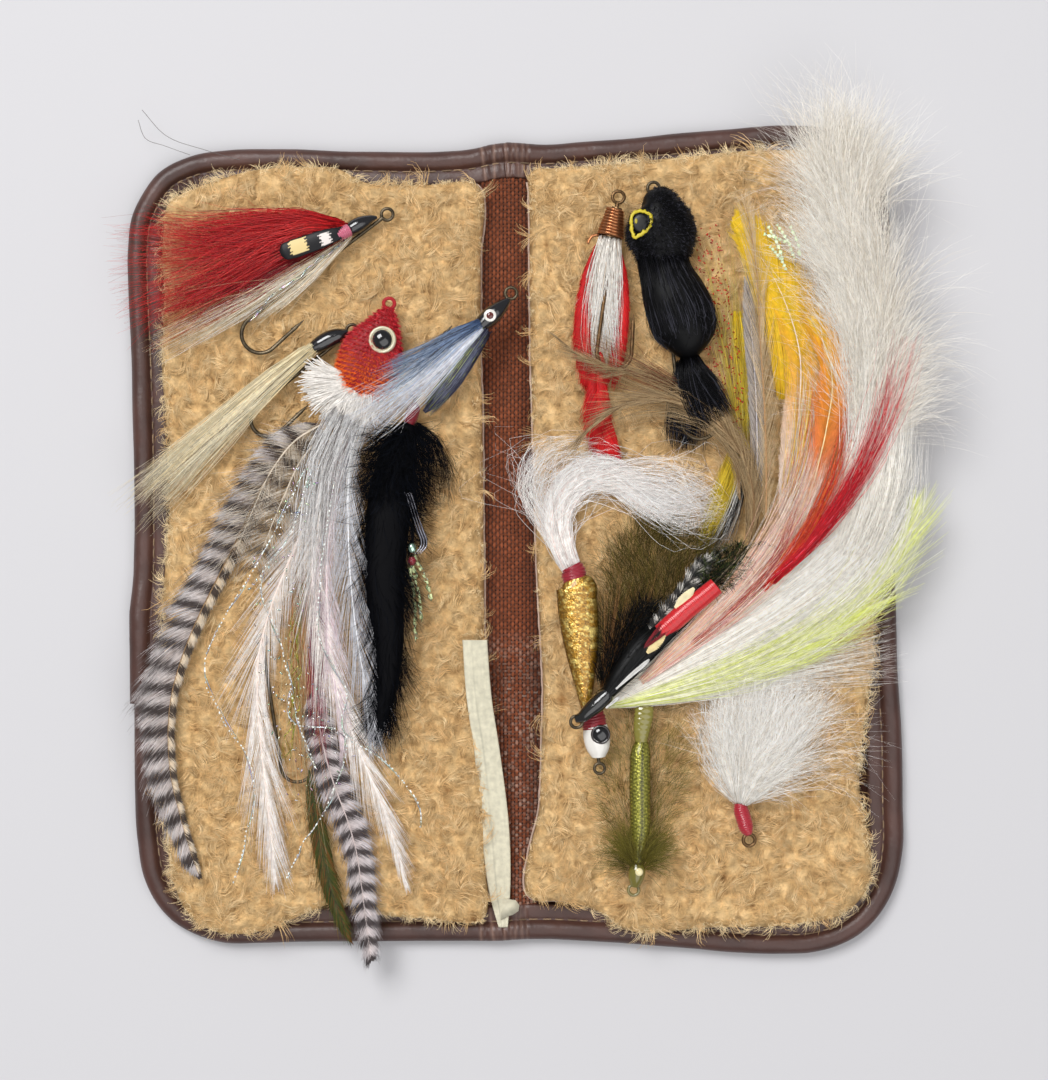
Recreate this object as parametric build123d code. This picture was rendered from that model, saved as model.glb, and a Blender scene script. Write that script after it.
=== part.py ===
from build123d import *
import math
import os

# Fly wallet, open flat on a table. Millimetres. The origin is the middle of the
# spine's underside: X runs across the two panels, Y along the spine, Z up.

# Driving sizes
SPINE_HALF = 5.5
FOLD_EACH = 72
LEATHER = 1.6
SKIVED = 0.8
CANVAS = 0.5
STRIP = 1.0
ROLL_WIDTH = 4.6
ROLL_TOP = 4.2
ROLL_ROUND = 2.0
SHOULDER_ROUND = 0.8
FOOT_ROUND = 0.7
BAND_REACH = 8.2
BAND = 0.9
SKIN = 0.9
WOOL_TOP = 9.5
WOOL_FOOT = 4.5
LAP_START, LAP_END = -19.0, -38.3
HOOK_Z = 10.3

# Worked-out levels
CANVAS_TOP = LEATHER + CANVAS
BAND_TOP = CANVAS_TOP + BAND
SKIN_TOP = CANVAS_TOP + SKIN
EDGE_CLEAR = 0.1
TALL = 60

# Outline of the open wallet: the right panel lies a little askew
LEFT_REACH, RIGHT_REACH = 89.0, 94.6
TOP_REACH, BOTTOM_REACH = 92.0, 95.0
BEND_X = SPINE_HALF + 1.5
OUTLINE = [
    (-BEND_X, TOP_REACH + 0.4),
    (-LEFT_REACH, TOP_REACH),
    (3.2 - LEFT_REACH, -BOTTOM_REACH),
    (-BEND_X, 0.8 - BOTTOM_REACH),
    (BEND_X, 1.4 - BOTTOM_REACH),
    (RIGHT_REACH, -BOTTOM_REACH - 4.8),
    (RIGHT_REACH - 4.2, TOP_REACH + 6.6),
    (BEND_X, TOP_REACH + 1.1),
]
CORNER_RADII = {0: 30, 1: 18, 2: 24, 3: 30, 4: 30, 5: 28, 6: 20, 7: 30}


def wallet_face():
    """The whole outline as one face, its corners and slight bends rounded."""
    face = make_face(Polyline(*OUTLINE, close=True))
    for index, radius in CORNER_RADII.items():
        corner = face.vertices().sort_by_distance(Vector(*OUTLINE[index], 0))[0]
        face = fillet(corner, radius)
    return face


WALLET = wallet_face()


def inset(distance):
    """The wallet's outline moved inward, or outward below zero."""
    return WALLET if distance == 0 else offset(WALLET, -distance)


def plate(distance, bottom, top):
    """A sheet with the inset outline between two heights."""
    return Pos(0, 0, bottom) * extrude(inset(distance), top - bottom)


def ring(outer, inner, bottom, top):
    """A band of the rim between two insets and two heights."""
    return plate(outer, bottom, top) - plate(inner, bottom, top)


def slab(x_from, x_to, y_from=-TALL * 2, y_to=TALL * 2):
    """A tall block that keeps one part of the wallet."""
    block = Box(x_to - x_from, y_to - y_from, TALL)
    return Pos((x_from + x_to) / 2, (y_from + y_to) / 2, 0) * block


LEFT_HALF = slab(-2 * TALL, -SPINE_HALF)
SPINE_PART = slab(-SPINE_HALF, SPINE_HALF)
RIGHT_HALF = slab(SPINE_HALF, 2 * TALL)


def rim_shape(grow):
    """The outside of the edge binding: a rounded roll and its flat inner band."""
    block = plate(-grow, 0, ROLL_TOP + grow)
    block = fillet(block.edges().group_by(Axis.Z)[-1], ROLL_ROUND + grow)
    block = fillet(block.edges().group_by(Axis.Z)[0], FOOT_ROUND)
    roll = block - plate(ROLL_WIDTH + grow, -1, TALL)
    shoulder = roll.faces().sort_by(Axis.Z)[-1].inner_wires()[0].edges()
    roll = fillet(shoulder, SHOULDER_ROUND)
    return roll + ring(ROLL_WIDTH - 0.5, BAND_REACH, 0, BAND_TOP + grow)


# Edge binding, folded round the rim and stitched through
def binding_blank():
    """The folded strip as one closed loop, before it is cut at the folds."""
    blank = rim_shape(0)
    slot = plate(STRIP, SKIVED, CANVAS_TOP)
    hollow = ring(STRIP, ROLL_WIDTH - STRIP + 0.2, SKIVED, ROLL_TOP - STRIP)
    flange_end = plate(BAND_REACH, -1, SKIVED)
    return blank - slot - hollow - flange_end


def fold_notch(x_fold):
    """The wedge above a fold line that lets the rim close."""
    rise = ROLL_TOP + 2
    spread = rise * math.tan(math.radians(FOLD_EACH / 2 + 1))
    with BuildPart() as wedge:
        with BuildSketch(Plane.XZ.offset(-2 * TALL)):
            with BuildLine():
                Polyline(
                    (x_fold, CANVAS_TOP),
                    (x_fold - spread, CANVAS_TOP + rise),
                    (x_fold + spread, CANVAS_TOP + rise),
                    close=True,
                )
            make_face()
        extrude(amount=4 * TALL)
    return wedge.part


BINDING = binding_blank() - fold_notch(-SPINE_HALF) - fold_notch(SPINE_HALF)


# Sheepskin pads: the skin and its wool
def wool(points, skin):
    """A woolly pad whose pile overhangs its skin and the binding."""
    pile = make_face(Spline(*points, periodic=True))
    pile = Pos(0, 0, WOOL_FOOT) * extrude(pile, WOOL_TOP - WOOL_FOOT)
    crown = pile.edges().sort_by(Axis.Z)[-1]
    pile = fillet(crown, 2.6)
    return skin + pile


# Fly dressings
def lock(*stations, ruled=False):
    """Hair, fur or a feather: flat ovals lofted along its lie (x, y, z, wide, high)."""
    count = len(stations)
    ovals = []
    for index, (x, y, z, wide, high) in enumerate(stations):
        before = stations[max(index - 1, 0)]
        after = stations[min(index + 1, count - 1)]
        lie = Vector(after[0] - before[0], after[1] - before[1], after[2] - before[2])
        across = Vector(lie.Y, -lie.X, 0)
        cut = Plane(origin=(x, y, z), x_dir=across, z_dir=lie)
        ovals.append(cut * Ellipse(wide / 2, high / 2))
    return loft(ovals, ruled=ruled)


def hook(eye, bend, gape, side, wire=0.9, z=HOOK_Z):
    """A hook lying on its side: eye ring, shank, round bend, point and barb."""
    along = Vector(bend[0] - eye[0], bend[1] - eye[1], 0)
    shank = along.length
    frame = Plane(origin=(eye[0], eye[1], z), x_dir=along, z_dir=(0, 0, 1))
    ring_radius = wire * 1.5
    run = Line((ring_radius, 0), (shank, 0))
    if gape:
        turn = ThreePointArc((shank, 0), (shank + gape / 2, side * gape / 2), (shank, side * gape))
        leg = Line(turn @ 1, (shank - gape * 0.9, side * gape * 0.92))
        route = run + turn + leg
    else:
        route = run
    start = Plane(origin=run @ 0, z_dir=(1, 0, 0))
    body = sweep(start * Circle(wire / 2), path=route)
    body += Torus(ring_radius, wire * 0.42)
    if gape:
        tip = Plane(origin=leg @ 0.97, z_dir=leg % 1)
        spike = tip * Pos(0, 0, 1.2) * Cone(wire * 0.48, 0.08, 2.4)
        barb_lean = Plane(origin=leg @ 0.95, z_dir=Vector(1, -side * 0.5, 0))
        barb = barb_lean * Pos(0, 0, 0.6) * Cone(wire * 0.35, 0.05, 1.2)
        body = body + spike + barb
    return frame * body


PARTS = {}

# Leather cover, skived thin where the binding wraps it
cover = plate(BAND_REACH + EDGE_CLEAR, 0, LEATHER) + plate(STRIP + EDGE_CLEAR, SKIVED, LEATHER)
PARTS["cover_left"] = cover & LEFT_HALF
PARTS["cover_spine"] = cover & SPINE_PART
PARTS["cover_right"] = cover & RIGHT_HALF

# Coarse canvas lining, bare along the spine
lining = plate(STRIP + EDGE_CLEAR, LEATHER, CANVAS_TOP)
PARTS["lining_left"] = lining & LEFT_HALF
PARTS["lining_spine"] = lining & SPINE_PART
PARTS["lining_right"] = lining & RIGHT_HALF

# Binding: one strip, whose upper end laps over the lower one on the left edge
lap_zone = slab(-2 * TALL, -60, LAP_END, LAP_START)
collar_zone = slab(-2 * TALL, -60, LAP_START, LAP_START + 3)
outer_shape = rim_shape(STRIP * 0.9)
inner_shape = rim_shape(0)
above_table = Pos(0, 0, SKIVED + TALL / 2) * Box(4 * TALL, 4 * TALL, TALL)
sleeve = (outer_shape - inner_shape) & above_table
left_upper = BINDING & slab(-2 * TALL, -SPINE_HALF, LAP_START, 2 * TALL)
left_upper += sleeve & lap_zone
left_upper += sleeve & collar_zone
PARTS["binding_left_upper"] = left_upper
PARTS["binding_left_lower"] = BINDING & slab(-2 * TALL, -SPINE_HALF, -2 * TALL, LAP_START)
PARTS["binding_spine_top"] = BINDING & slab(-SPINE_HALF, SPINE_HALF, 0, 2 * TALL)
PARTS["binding_spine_bottom"] = BINDING & slab(-SPINE_HALF, SPINE_HALF, -2 * TALL, 0)
PARTS["binding_right"] = BINDING & RIGHT_HALF

# Folded tape strip: it leans from the wool down to the canvas
TAPE = [(-6.6, -23.3, 9.9, 5.9), (-1.9, -71.0, 5.4, 6.3), (0.2, -89.0, 3.3, 4.0)]


def tape_strip(thick, extra, drop):
    """A strip with one lengthwise crease."""
    cuts = []
    for x, y, z, wide in TAPE:
        half = wide / 2 + extra
        with BuildSketch(Plane(origin=(x, y, z - drop), x_dir=(1, 0, 0), z_dir=(0, -1, 0))) as cut:
            with BuildLine():
                Polyline(
                    (-half, 0),
                    (0, 0.5),
                    (half, 0),
                    (half, thick),
                    (0, 0.5 + thick),
                    (-half, thick),
                    close=True,
                )
            make_face()
        cuts.append(cut.sketch)
    return loft(cuts, ruled=True)


PARTS["tape_strip"] = tape_strip(0.5, 0, 0)
tape_room = tape_strip(TALL, 0.5, 0.5)

# Sheepskin pads
skin = plate(BAND_REACH + 0.4, CANVAS_TOP, WOOL_FOOT)
left_skin = skin & slab(-2 * TALL, -SPINE_HALF - 0.3)
right_skin = skin & slab(SPINE_HALF + 0.3, 2 * TALL)
LEFT_WOOL = [
    (-78.4, 80.6), (-70.6, 84), (-60, 87.2), (-46, 88.4), (-33, 85), (-19, 84), (-7.2, 82),
    (-5.4, 60), (-5, 14), (-4.6, -24), (-5, -60), (-6.5, -88.5), (-24, -88.6), (-38.7, -86),
    (-50, -89.3), (-61, -93), (-71, -91), (-78, -81), (-79, -12), (-80.6, 39),
]
RIGHT_WOOL = [
    (8, 87.5), (22, 88.6), (44, 90.7), (66, 92.4), (81, 88), (86.2, 76), (86.8, 0), (86.6, -32),
    (84, -57), (87, -76), (80.5, -88), (69, -90.7), (47, -91.7), (30, -91.5), (20, -87.5),
    (8.6, -84), (8.2, -50), (8.6, -24), (6.8, 14), (5.8, 60),
]
PARTS["fleece_left"] = wool(LEFT_WOOL, left_skin) - tape_room
PARTS["fleece_right"] = wool(RIGHT_WOOL, right_skin)

# Left panel, red streamer
red_hook = hook((-26.8, 75.2), (-58.7, 51.0), 8.7, 1)
red_head = lock(
    (-30, 74, 11.4, 1.2, 1.2), (-31.5, 73.3, 11.4, 2.4, 2.6), (-34.5, 72, 11.5, 3.5, 3.4),
    (-35.5, 71.5, 11.6, 3, 3),
)
PARTS["red_streamer_hook"] = red_hook
PARTS["red_streamer_head"] = red_head - red_hook
PARTS["red_streamer_wing"] = lock(
    (-36.2, 71.5, 12.6, 3.5, 2.4), (-44, 71.5, 12.9, 8.5, 3.2), (-52, 70, 12.9, 14.5, 3.4),
    (-68.5, 65.5, 12.6, 22.5, 2.8), (-86.5, 61.5, 12.2, 29, 2),
)
PARTS["red_streamer_throat"] = lock(
    (-40, 64.8, 12.2, 2.5, 1.8), (-46.5, 60.8, 12.2, 3.5, 2.0), (-58.5, 55, 12.2, 4.5, 2.0),
    (-68.5, 50, 12.2, 5.5, 2.2), (-79.5, 44, 12, 6, 1.6),
)
PARTS["red_streamer_cheek"] = lock(
    (-36, 71, 15.2, 2, 0.5), (-41.5, 69, 15.3, 4, 0.6),
    (-46.5, 67, 15.3, 4, 0.6), (-51, 65.5, 15.3, 2, 0.5),
)

# Left panel, cream streamer
cream_hook = hook((-34.9, 48.4), (-56.8, 31.0), 8.0, 1)
cream_head = lock(
    (-36, 47.8, 11.3, 1.2, 1.2), (-37.5, 47, 11.4, 3, 3), (-41.5, 44.6, 11.6, 4, 3.6),
    (-43.5, 43.4, 11.7, 3, 3),
)
PARTS["cream_streamer_hook"] = cream_hook
PARTS["cream_streamer_head"] = cream_head - cream_hook
PARTS["cream_streamer_wing"] = lock(
    (-44.2, 42.8, 12.4, 3, 2), (-53.5, 35.5, 12.4, 6, 2.6), (-68, 24.5, 12.4, 6, 2.6),
    (-78, 15, 12.3, 7.5, 2.2), (-85, 8.5, 12.1, 8.5, 1.6),
)

# Left panel, baitfish with a big round eye
bait_eye = Pos(-27.8, 45.6, 15.2) * (Cylinder(3.3, 1.0) + Pos(0, 0, 0.5) * scale(Sphere(2.4), (1, 1, 0.55)))
bait_head = lock(
    (-26.5, 53, 13.0, 3, 2.4), (-28, 49, 13.1, 8.5, 5.8), (-30, 43.5, 13.1, 14, 7),
    (-31.5, 37.5, 13.1, 13.5, 6.6), (-32.5, 34.2, 12.8, 10, 5.2),
)
bait_head += Pos(-26.2, 53.9, 13.0) * Torus(1.1, 0.3)
PARTS["baitfish_hook"] = hook((-55.7, -23.1), (-51.3, -52.7), 7.5, 1, wire=0.8)
PARTS["baitfish_eye"] = bait_eye
PARTS["baitfish_head"] = bait_head - bait_eye
PARTS["baitfish_collar"] = lock(
    (-33.2, 32.6, 12.4, 11.5, 4.4), (-35, 29.5, 12.4, 17, 4.4), (-38, 25.5, 12.2, 19, 3.4),
)
PARTS["baitfish_saddle"] = lock(
    (-39.6, 22.8, 13.6, 8, 1.2), (-42, 14, 13.8, 11, 1.2),
    (-47.5, -1, 13.8, 14, 1.2), (-50, -18.5, 13.6, 20, 1.2),
    (-46.5, -37, 13.4, 23, 1.2), (-40, -60, 13.4, 22, 1), (-35, -77.5, 13.2, 14, 0.8),
)
PARTS["baitfish_grizzly_outer"] = lock(
    (-52.5, 20.5, 10.6, 5.5, 0.8), (-58, 9.5, 10.3, 9, 0.9),
    (-67, -9.5, 10.3, 9, 0.9), (-77.5, -32, 10.3, 7.5, 0.9),
    (-79, -44.5, 10.3, 6.5, 0.9), (-77.5, -58.5, 10.3, 5, 0.8), (-70, -77.5, 10.3, 2, 0.6),
)
PARTS["baitfish_grizzly_inner"] = lock(
    (-41, -50.5, 11.6, 9, 0.8), (-36, -64.5, 11.6, 9, 0.8),
    (-33, -79, 11.6, 7, 0.8), (-30.5, -96, 11.6, 2, 0.6),
)

# Blue streamer, its head out over the spine: the fly swings on its hook's bend
blue_hook = hook((1.8, 57.0), (-12.0, 39.0), 7.0, -1)
blue_head = lock(
    (0.8, 55.6, 11.3, 1.2, 1.2), (-0.7, 53.6, 11.4, 3, 3), (-4.5, 49, 11.5, 4, 3.8),
    (-5.6, 47.6, 11.6, 3.4, 3.2),
)
PARTS["blue_streamer_hook"] = blue_hook
PARTS["blue_streamer_head"] = blue_head - blue_hook
PARTS["blue_streamer_wing"] = lock(
    (-6.2, 46.8, 12.7, 3, 1.8), (-12, 41, 13.6, 6, 2.2), (-18.5, 34, 15.2, 9.5, 2.2),
    (-24.5, 29, 15.8, 12, 2), (-31.5, 25.5, 15.9, 13, 1.8),
)

# Left panel, black leech
leech_hook = hook((-20.3, 34.2), (-21.0, -6.0), 8.0, -1, wire=0.8, z=10.6)
leech_head = lock(
    (-20.4, 32.6, 11.2, 1.5, 1.8), (-20.6, 30.5, 11.2, 3, 2.8), (-20.8, 27.6, 11.3, 3, 3),
)
PARTS["black_leech_hook"] = leech_hook
PARTS["black_leech_head"] = leech_head - leech_hook
PARTS["black_leech_fur"] = lock(
    (-21.6, 26.6, 12.6, 3.5, 2), (-25.5, 16, 13.4, 9, 4),
    (-27.5, 0, 13.6, 9, 4.6), (-27.5, -14, 13.6, 8.5, 4.6),
    (-26.5, -27.5, 13.2, 6.5, 3.6), (-28, -41.5, 12.8, 4, 2.8), (-29, -51.5, 12.2, 1.5, 1.4),
)

# Right panel, fly with a copper wire head: one unbroken winding on a tapered core
COPPER_TOP, COPPER_FOOT = Vector(26.2, 76.4, 12.7), Vector(24.8, 69.5, 12.7)
WIRE = 0.45
TURNS = 7
CORE_TOP, CORE_FOOT = 1.2, 2.4
core_length = (COPPER_FOOT - COPPER_TOP).length
pitch = (core_length - 2 * WIRE) / TURNS
flare = math.degrees(math.atan((CORE_FOOT - CORE_TOP) / core_length))
core_frame = Plane(origin=COPPER_TOP, z_dir=COPPER_FOOT - COPPER_TOP)
copper_hook = hook((26.5, 78.9), (21.6, 43.7), 8.0, 1, z=12.7)
core = core_frame * Pos(0, 0, core_length / 2) * Cone(CORE_TOP, CORE_FOOT, core_length)
PARTS["copper_fly_hook"] = copper_hook
PARTS["copper_fly_core"] = core - copper_hook


def copper_winding():
    """The wire as a helix that widens with the core under it."""
    lift = CORE_TOP + WIRE / 2 + 0.04 + (CORE_FOOT - CORE_TOP) * WIRE / core_length
    route = Helix(pitch, pitch * TURNS, lift, cone_angle=flare)
    start = Plane(origin=route @ 0, z_dir=route % 0)
    tube = sweep(start * Circle(WIRE / 2), path=route, is_frenet=True)
    steps = 36
    points = [route @ (i / (TURNS * steps)) for i in range(TURNS * steps + 1)]
    gaps = [
        (points[a] - points[b]).length
        for a in range(len(points))
        for b in range(a + steps // 2, len(points))
    ]
    print("copper winding least gap", round(min(gaps) - WIRE, 2))
    return core_frame * Pos(0, 0, WIRE) * tube


PARTS["copper_fly_winding"] = copper_winding()
PARTS["copper_fly_hair"] = lock(
    (24.4, 68, 11, 6, 2), (22.5, 55.5, 10.9, 12.5, 2.1), (22.5, 40.5, 10.9, 13, 2.1),
    (22.5, 30, 10.9, 10, 2), (23.5, 21.5, 10.8, 6, 1.6),
)

# Right panel, clipped deer hair mouse
mouse_hook = hook((34.6, 81.0), (41.0, 27.0), 8.5, 1, z=12.4)
mouse_body = lock(
    (35, 78, 14.4, 6, 6.4), (36, 75, 14.5, 13.5, 8.8),
    (36, 70.5, 14.5, 15.5, 9.4), (36, 65.5, 14.2, 11.5, 8),
    (38, 59.5, 14.2, 13, 8.2), (40.5, 53, 14.4, 15, 8.8),
    (41.5, 47, 14.4, 14, 8.6), (42.5, 43, 14, 7.5, 6),
)
mouse_tail = lock(
    (42.5, 41.8, 12, 3.5, 1.8), (41.5, 34.5, 12, 8.5, 2.2), (42, 26.5, 12, 11, 2.2),
    (42, 20.5, 11.8, 10.5, 1.8),
)
PARTS["mouse_hook"] = mouse_hook
PARTS["mouse_body"] = mouse_body - mouse_hook
PARTS["mouse_tail"] = mouse_tail - mouse_hook

# Right panel, loose yellow and orange hair wings
PARTS["yellow_wing"] = lock(
    (48, 71, 11, 6, 2.2), (50.5, 57.5, 11, 6.5, 2.4), (53.5, 43.5, 11, 6.5, 2.4),
    (54.5, 27.5, 11, 3.5, 2), (54, 22, 11, 2.5, 1.6),
)
PARTS["orange_wing"] = lock(
    (59, 73.5, 11.2, 8, 2.6), (63, 57.5, 11.2, 10.5, 2.8), (67.5, 41.5, 11.2, 13, 2.6),
    (71.5, 25.5, 11.2, 11.5, 2.2), (73.5, 14, 11.2, 8.5, 1.8),
)

# Right panel, two curved brown hackle feathers
PARTS["brown_hackle_outer"] = lock(
    (56, 0, 14.7, 3, 0.6), (56.5, 9, 14.4, 4, 0.7),
    (54.5, 20.5, 13.9, 4.5, 0.7), (47, 29, 13.9, 4.5, 0.7),
    (39, 31.5, 13.9, 4.5, 0.7), (28.5, 29.5, 13.9, 4, 0.7),
    (21.5, 25.5, 13.9, 3, 0.7), (17, 21.5, 13.9, 2, 0.5),
)
PARTS["brown_hackle_inner"] = lock(
    (56, 18, 15.2, 2.5, 0.6), (51, 27.5, 15.2, 4, 0.7), (43.5, 34, 15.2, 4.5, 0.7),
    (35, 38.5, 15.2, 4, 0.7), (24, 39.5, 15.2, 3, 0.7), (13.5, 45.5, 15.2, 1.5, 0.5),
)

# Right panel, tube fly with its glitter body
tube_pin = hook((22.2, -52.6), (17.2, -10.5), 0, 1, wire=0.8, z=12.0)
tube_body = lock(
    (16, -7, 12.2, 5, 4.4), (17, -9, 12.4, 7.5, 5.2),
    (17.5, -14.5, 12.4, 8.5, 5.4), (18, -26, 12.2, 7, 4.8),
    (19, -35.5, 11.8, 3.5, 3.6), (20, -39.5, 11.6, 3, 3.4),
)
tube_head = lock(
    (20.4, -40.4, 11.8, 5, 3.8), (21, -42.5, 12, 6, 4.2), (21.5, -46.5, 12, 6, 4.4),
    (22, -50, 11.8, 3, 3.2),
)
PARTS["tube_fly_pin"] = tube_pin
PARTS["tube_fly_body"] = tube_body - tube_pin
PARTS["tube_fly_head"] = tube_head - tube_pin
PARTS["tube_fly_hair"] = lock(
    (15.8, -5.6, 12, 4.5, 3), (13, 1, 12, 7, 2.8), (13.5, 9, 12.2, 8, 2.4), (20, 14.5, 12.4, 8, 2),
    (30.5, 11, 12.8, 8.5, 1.8), (39, 7.5, 12.9, 7.5, 1.6), (48, 9.5, 12.9, 6.5, 1.4),
)

# Right panel, the largest fly: lacquered head, floss body, two hair wings
deceiver_hook = hook((16.8, -41.6), (56.0, -2.0), 9.0, -1, z=15.9)
deceiver_head = lock(
    (17.9, -40.5, 15.8, 1.5, 2), (19.2, -39.2, 15.8, 3.5, 3.4), (22, -36.6, 16, 4.5, 4.2),
    (23.8, -34.9, 16, 5, 4.2),
)
deceiver_body = lock(
    (24.3, -34.4, 16, 5, 4.2), (27, -29.5, 16.2, 9.5, 4.6), (32.5, -23, 16.2, 11, 4.6),
    (39.5, -15.5, 16, 11.5, 4.4), (48, -8.5, 15.8, 10.5, 4.2), (54.5, -3.5, 15.6, 9, 3.4),
)
PARTS["deceiver_hook"] = deceiver_hook
PARTS["deceiver_head"] = deceiver_head - deceiver_hook
PARTS["deceiver_body"] = deceiver_body - deceiver_hook
PARTS["deceiver_chartreuse_wing"] = lock(
    (25.4, -37.6, 12.6, 2.5, 1.6), (34, -35, 13.1, 6, 1.9),
    (45.5, -31.5, 13, 10.5, 2.1), (61.5, -26.5, 12.6, 15, 2.6),
    (75, -18.5, 12.4, 19.5, 2.6), (88, -6, 12.2, 18.5, 2.2), (95, 6.5, 12, 14, 1.6),
)
PARTS["deceiver_white_wing"] = lock(
    (35, -26.5, 12.9, 4.5, 1.2), (43, -18.5, 12.9, 9, 1.4),
    (54.5, -7.5, 12.9, 14, 1.4), (68, 4.5, 13.4, 18.5, 2),
    (77, 20.5, 13.9, 21, 2.2), (79.5, 35.5, 14, 20.5, 2),
)

# Right panel, long white fur that reaches past the top edge
PARTS["white_fur"] = lock(
    (79.5, 25.5, 17, 23, 3), (82.5, 43.5, 17.5, 23, 5), (82, 59, 17.5, 24, 6),
    (78, 77.5, 17.2, 24.5, 6), (75, 93.5, 16.8, 21, 4.6), (76, 105, 16.2, 8, 2),
)

# Right panel, olive fly with a scaled body
olive_body = lock(
    (32, -43.8, 11.8, 3, 2.8), (32, -46.5, 12.3, 4, 3.8),
    (31.5, -53, 12.5, 5, 4.4), (31.5, -67, 12.5, 4.5, 4.4),
    (31, -73.5, 12.4, 3, 3.4), (31, -76, 12.4, 4, 3.8), (30.5, -79.5, 12, 3, 2.8),
)
PARTS["olive_fly_body"] = olive_body + Pos(30.4, -80.7, 12) * Torus(1.2, 0.35)
PARTS["olive_fly_fur"] = lock(
    (46, 4, 10.8, 9, 1.6), (39, -4.5, 10.9, 15, 2),
    (35, -16, 10.9, 17.5, 2), (33.5, -27.5, 10.9, 13, 2),
    (32.5, -37, 10.9, 5.5, 2), (32.3, -43, 10.9, 3.5, 2),
)

# Right panel, white marabou fly
marabou_head = lock(
    (56.8, -68.6, 11.6, 1.4, 1.4), (56.4, -67.3, 11.7, 3, 3), (55, -62.8, 11.8, 3.5, 3.4),
    (54.6, -61.6, 11.8, 3, 3),
)
PARTS["marabou_fly_head"] = marabou_head + Pos(57.2, -69.8, 11.6) * Torus(1.3, 0.35)
PARTS["marabou_fly_fur"] = lock(
    (54.5, -60.4, 11.8, 3.5, 2.6), (57, -54, 12, 16, 3.4), (60, -46, 12, 28, 3.4),
    (62, -38.5, 11.2, 33, 2.4),
)

os.makedirs("parts", exist_ok=True)
for name, solid in PARTS.items():
    export_step(solid, f"parts/{name}.step")
print(len(PARTS), "parts")
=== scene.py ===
import math
from contextlib import contextmanager

import bpy
import numpy as np
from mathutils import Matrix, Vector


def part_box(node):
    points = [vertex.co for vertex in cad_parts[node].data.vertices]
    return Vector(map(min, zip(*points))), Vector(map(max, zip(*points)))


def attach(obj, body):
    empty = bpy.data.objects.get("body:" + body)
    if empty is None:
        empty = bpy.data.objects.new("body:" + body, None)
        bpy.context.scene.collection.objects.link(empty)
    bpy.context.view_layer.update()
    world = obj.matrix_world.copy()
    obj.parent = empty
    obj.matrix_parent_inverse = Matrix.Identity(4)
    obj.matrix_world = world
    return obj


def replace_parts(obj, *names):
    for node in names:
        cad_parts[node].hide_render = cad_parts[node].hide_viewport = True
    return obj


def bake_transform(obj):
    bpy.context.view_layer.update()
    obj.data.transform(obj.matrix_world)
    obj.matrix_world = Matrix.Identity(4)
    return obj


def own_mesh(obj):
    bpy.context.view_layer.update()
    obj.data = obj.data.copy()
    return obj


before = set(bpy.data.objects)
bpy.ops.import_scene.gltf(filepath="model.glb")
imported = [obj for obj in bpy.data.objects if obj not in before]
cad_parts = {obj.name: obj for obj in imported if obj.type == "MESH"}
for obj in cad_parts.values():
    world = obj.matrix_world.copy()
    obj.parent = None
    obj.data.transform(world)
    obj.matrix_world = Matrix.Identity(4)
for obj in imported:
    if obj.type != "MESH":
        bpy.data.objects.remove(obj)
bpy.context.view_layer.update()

# Sizes are in millimetres, in the row frame, until a mesh is made
MM = 0.001
PI = math.pi

# Photo scale: the camera looks straight down at a flat table
PX = 0.235
PHOTO_MID = (503.5, 540.0)
PHOTO_SIZE = (1048, 1080)
EYE_X, EYE_HEIGHT = 4.8, 600.0

# Levels taken from the solids
COVER_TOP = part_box("cover_left")[1][2] / MM
CANVAS_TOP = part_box("lining_left")[1][2] / MM
FOLD_X = 5.5
LEFT_SIDE = -60
REACH = 3.0
BAND_REACH = 8.2

# What gives way as the wallet closes, by the start of its name, and how much height it keeps
KEEP = {
    "fleece": 0.8, "skin_edge": 0.8, "black_leech": 0.64, "blue_streamer": 0.74, "tube_fly.hair": 0.64,
    "brown_hackle": 0.6, "baitfish": 0.78, "deceiver": 0.93, "copper_fly.hair": 0.8,
    "copper_fly.feathers": 0.8, "olive_fly.fur": 0.8,
}

rng = np.random.default_rng(2408)


# Camera
def add_camera():
    """A camera over the table that frames the photo's view."""
    data = bpy.data.cameras.new("camera")
    data.sensor_fit = "VERTICAL"
    data.sensor_height = 24
    data.lens = 24 * EYE_HEIGHT / (PX * PHOTO_SIZE[1])
    data.clip_start, data.clip_end = 0.01, 10
    camera = bpy.data.objects.new("camera", data)
    camera.location = (EYE_X * MM, 0, EYE_HEIGHT * MM)
    bpy.context.scene.collection.objects.link(camera)
    bpy.context.scene.camera = camera


add_camera()


# Numbers
def spot(px, py, z):
    """A photo pixel at a height, as x, y, z in millimetres."""
    x = (np.asarray(px, float) - PHOTO_MID[0]) * PX
    y = (PHOTO_MID[1] - np.asarray(py, float)) * PX
    near = 1 - np.asarray(z, float) / EYE_HEIGHT
    return np.array(np.broadcast_arrays(EYE_X + (x - EYE_X) * near, y * near, z), float)


def linear(rgb):
    """sRGB 0 to 255 as linear light."""
    c = np.asarray(rgb, float) / 255
    return np.where(c <= 0.04045, c / 12.92, ((c + 0.055) / 1.055) ** 2.4)


def unit(v):
    return v / np.maximum(np.linalg.norm(v, axis=-1, keepdims=True), 1e-9)


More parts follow.
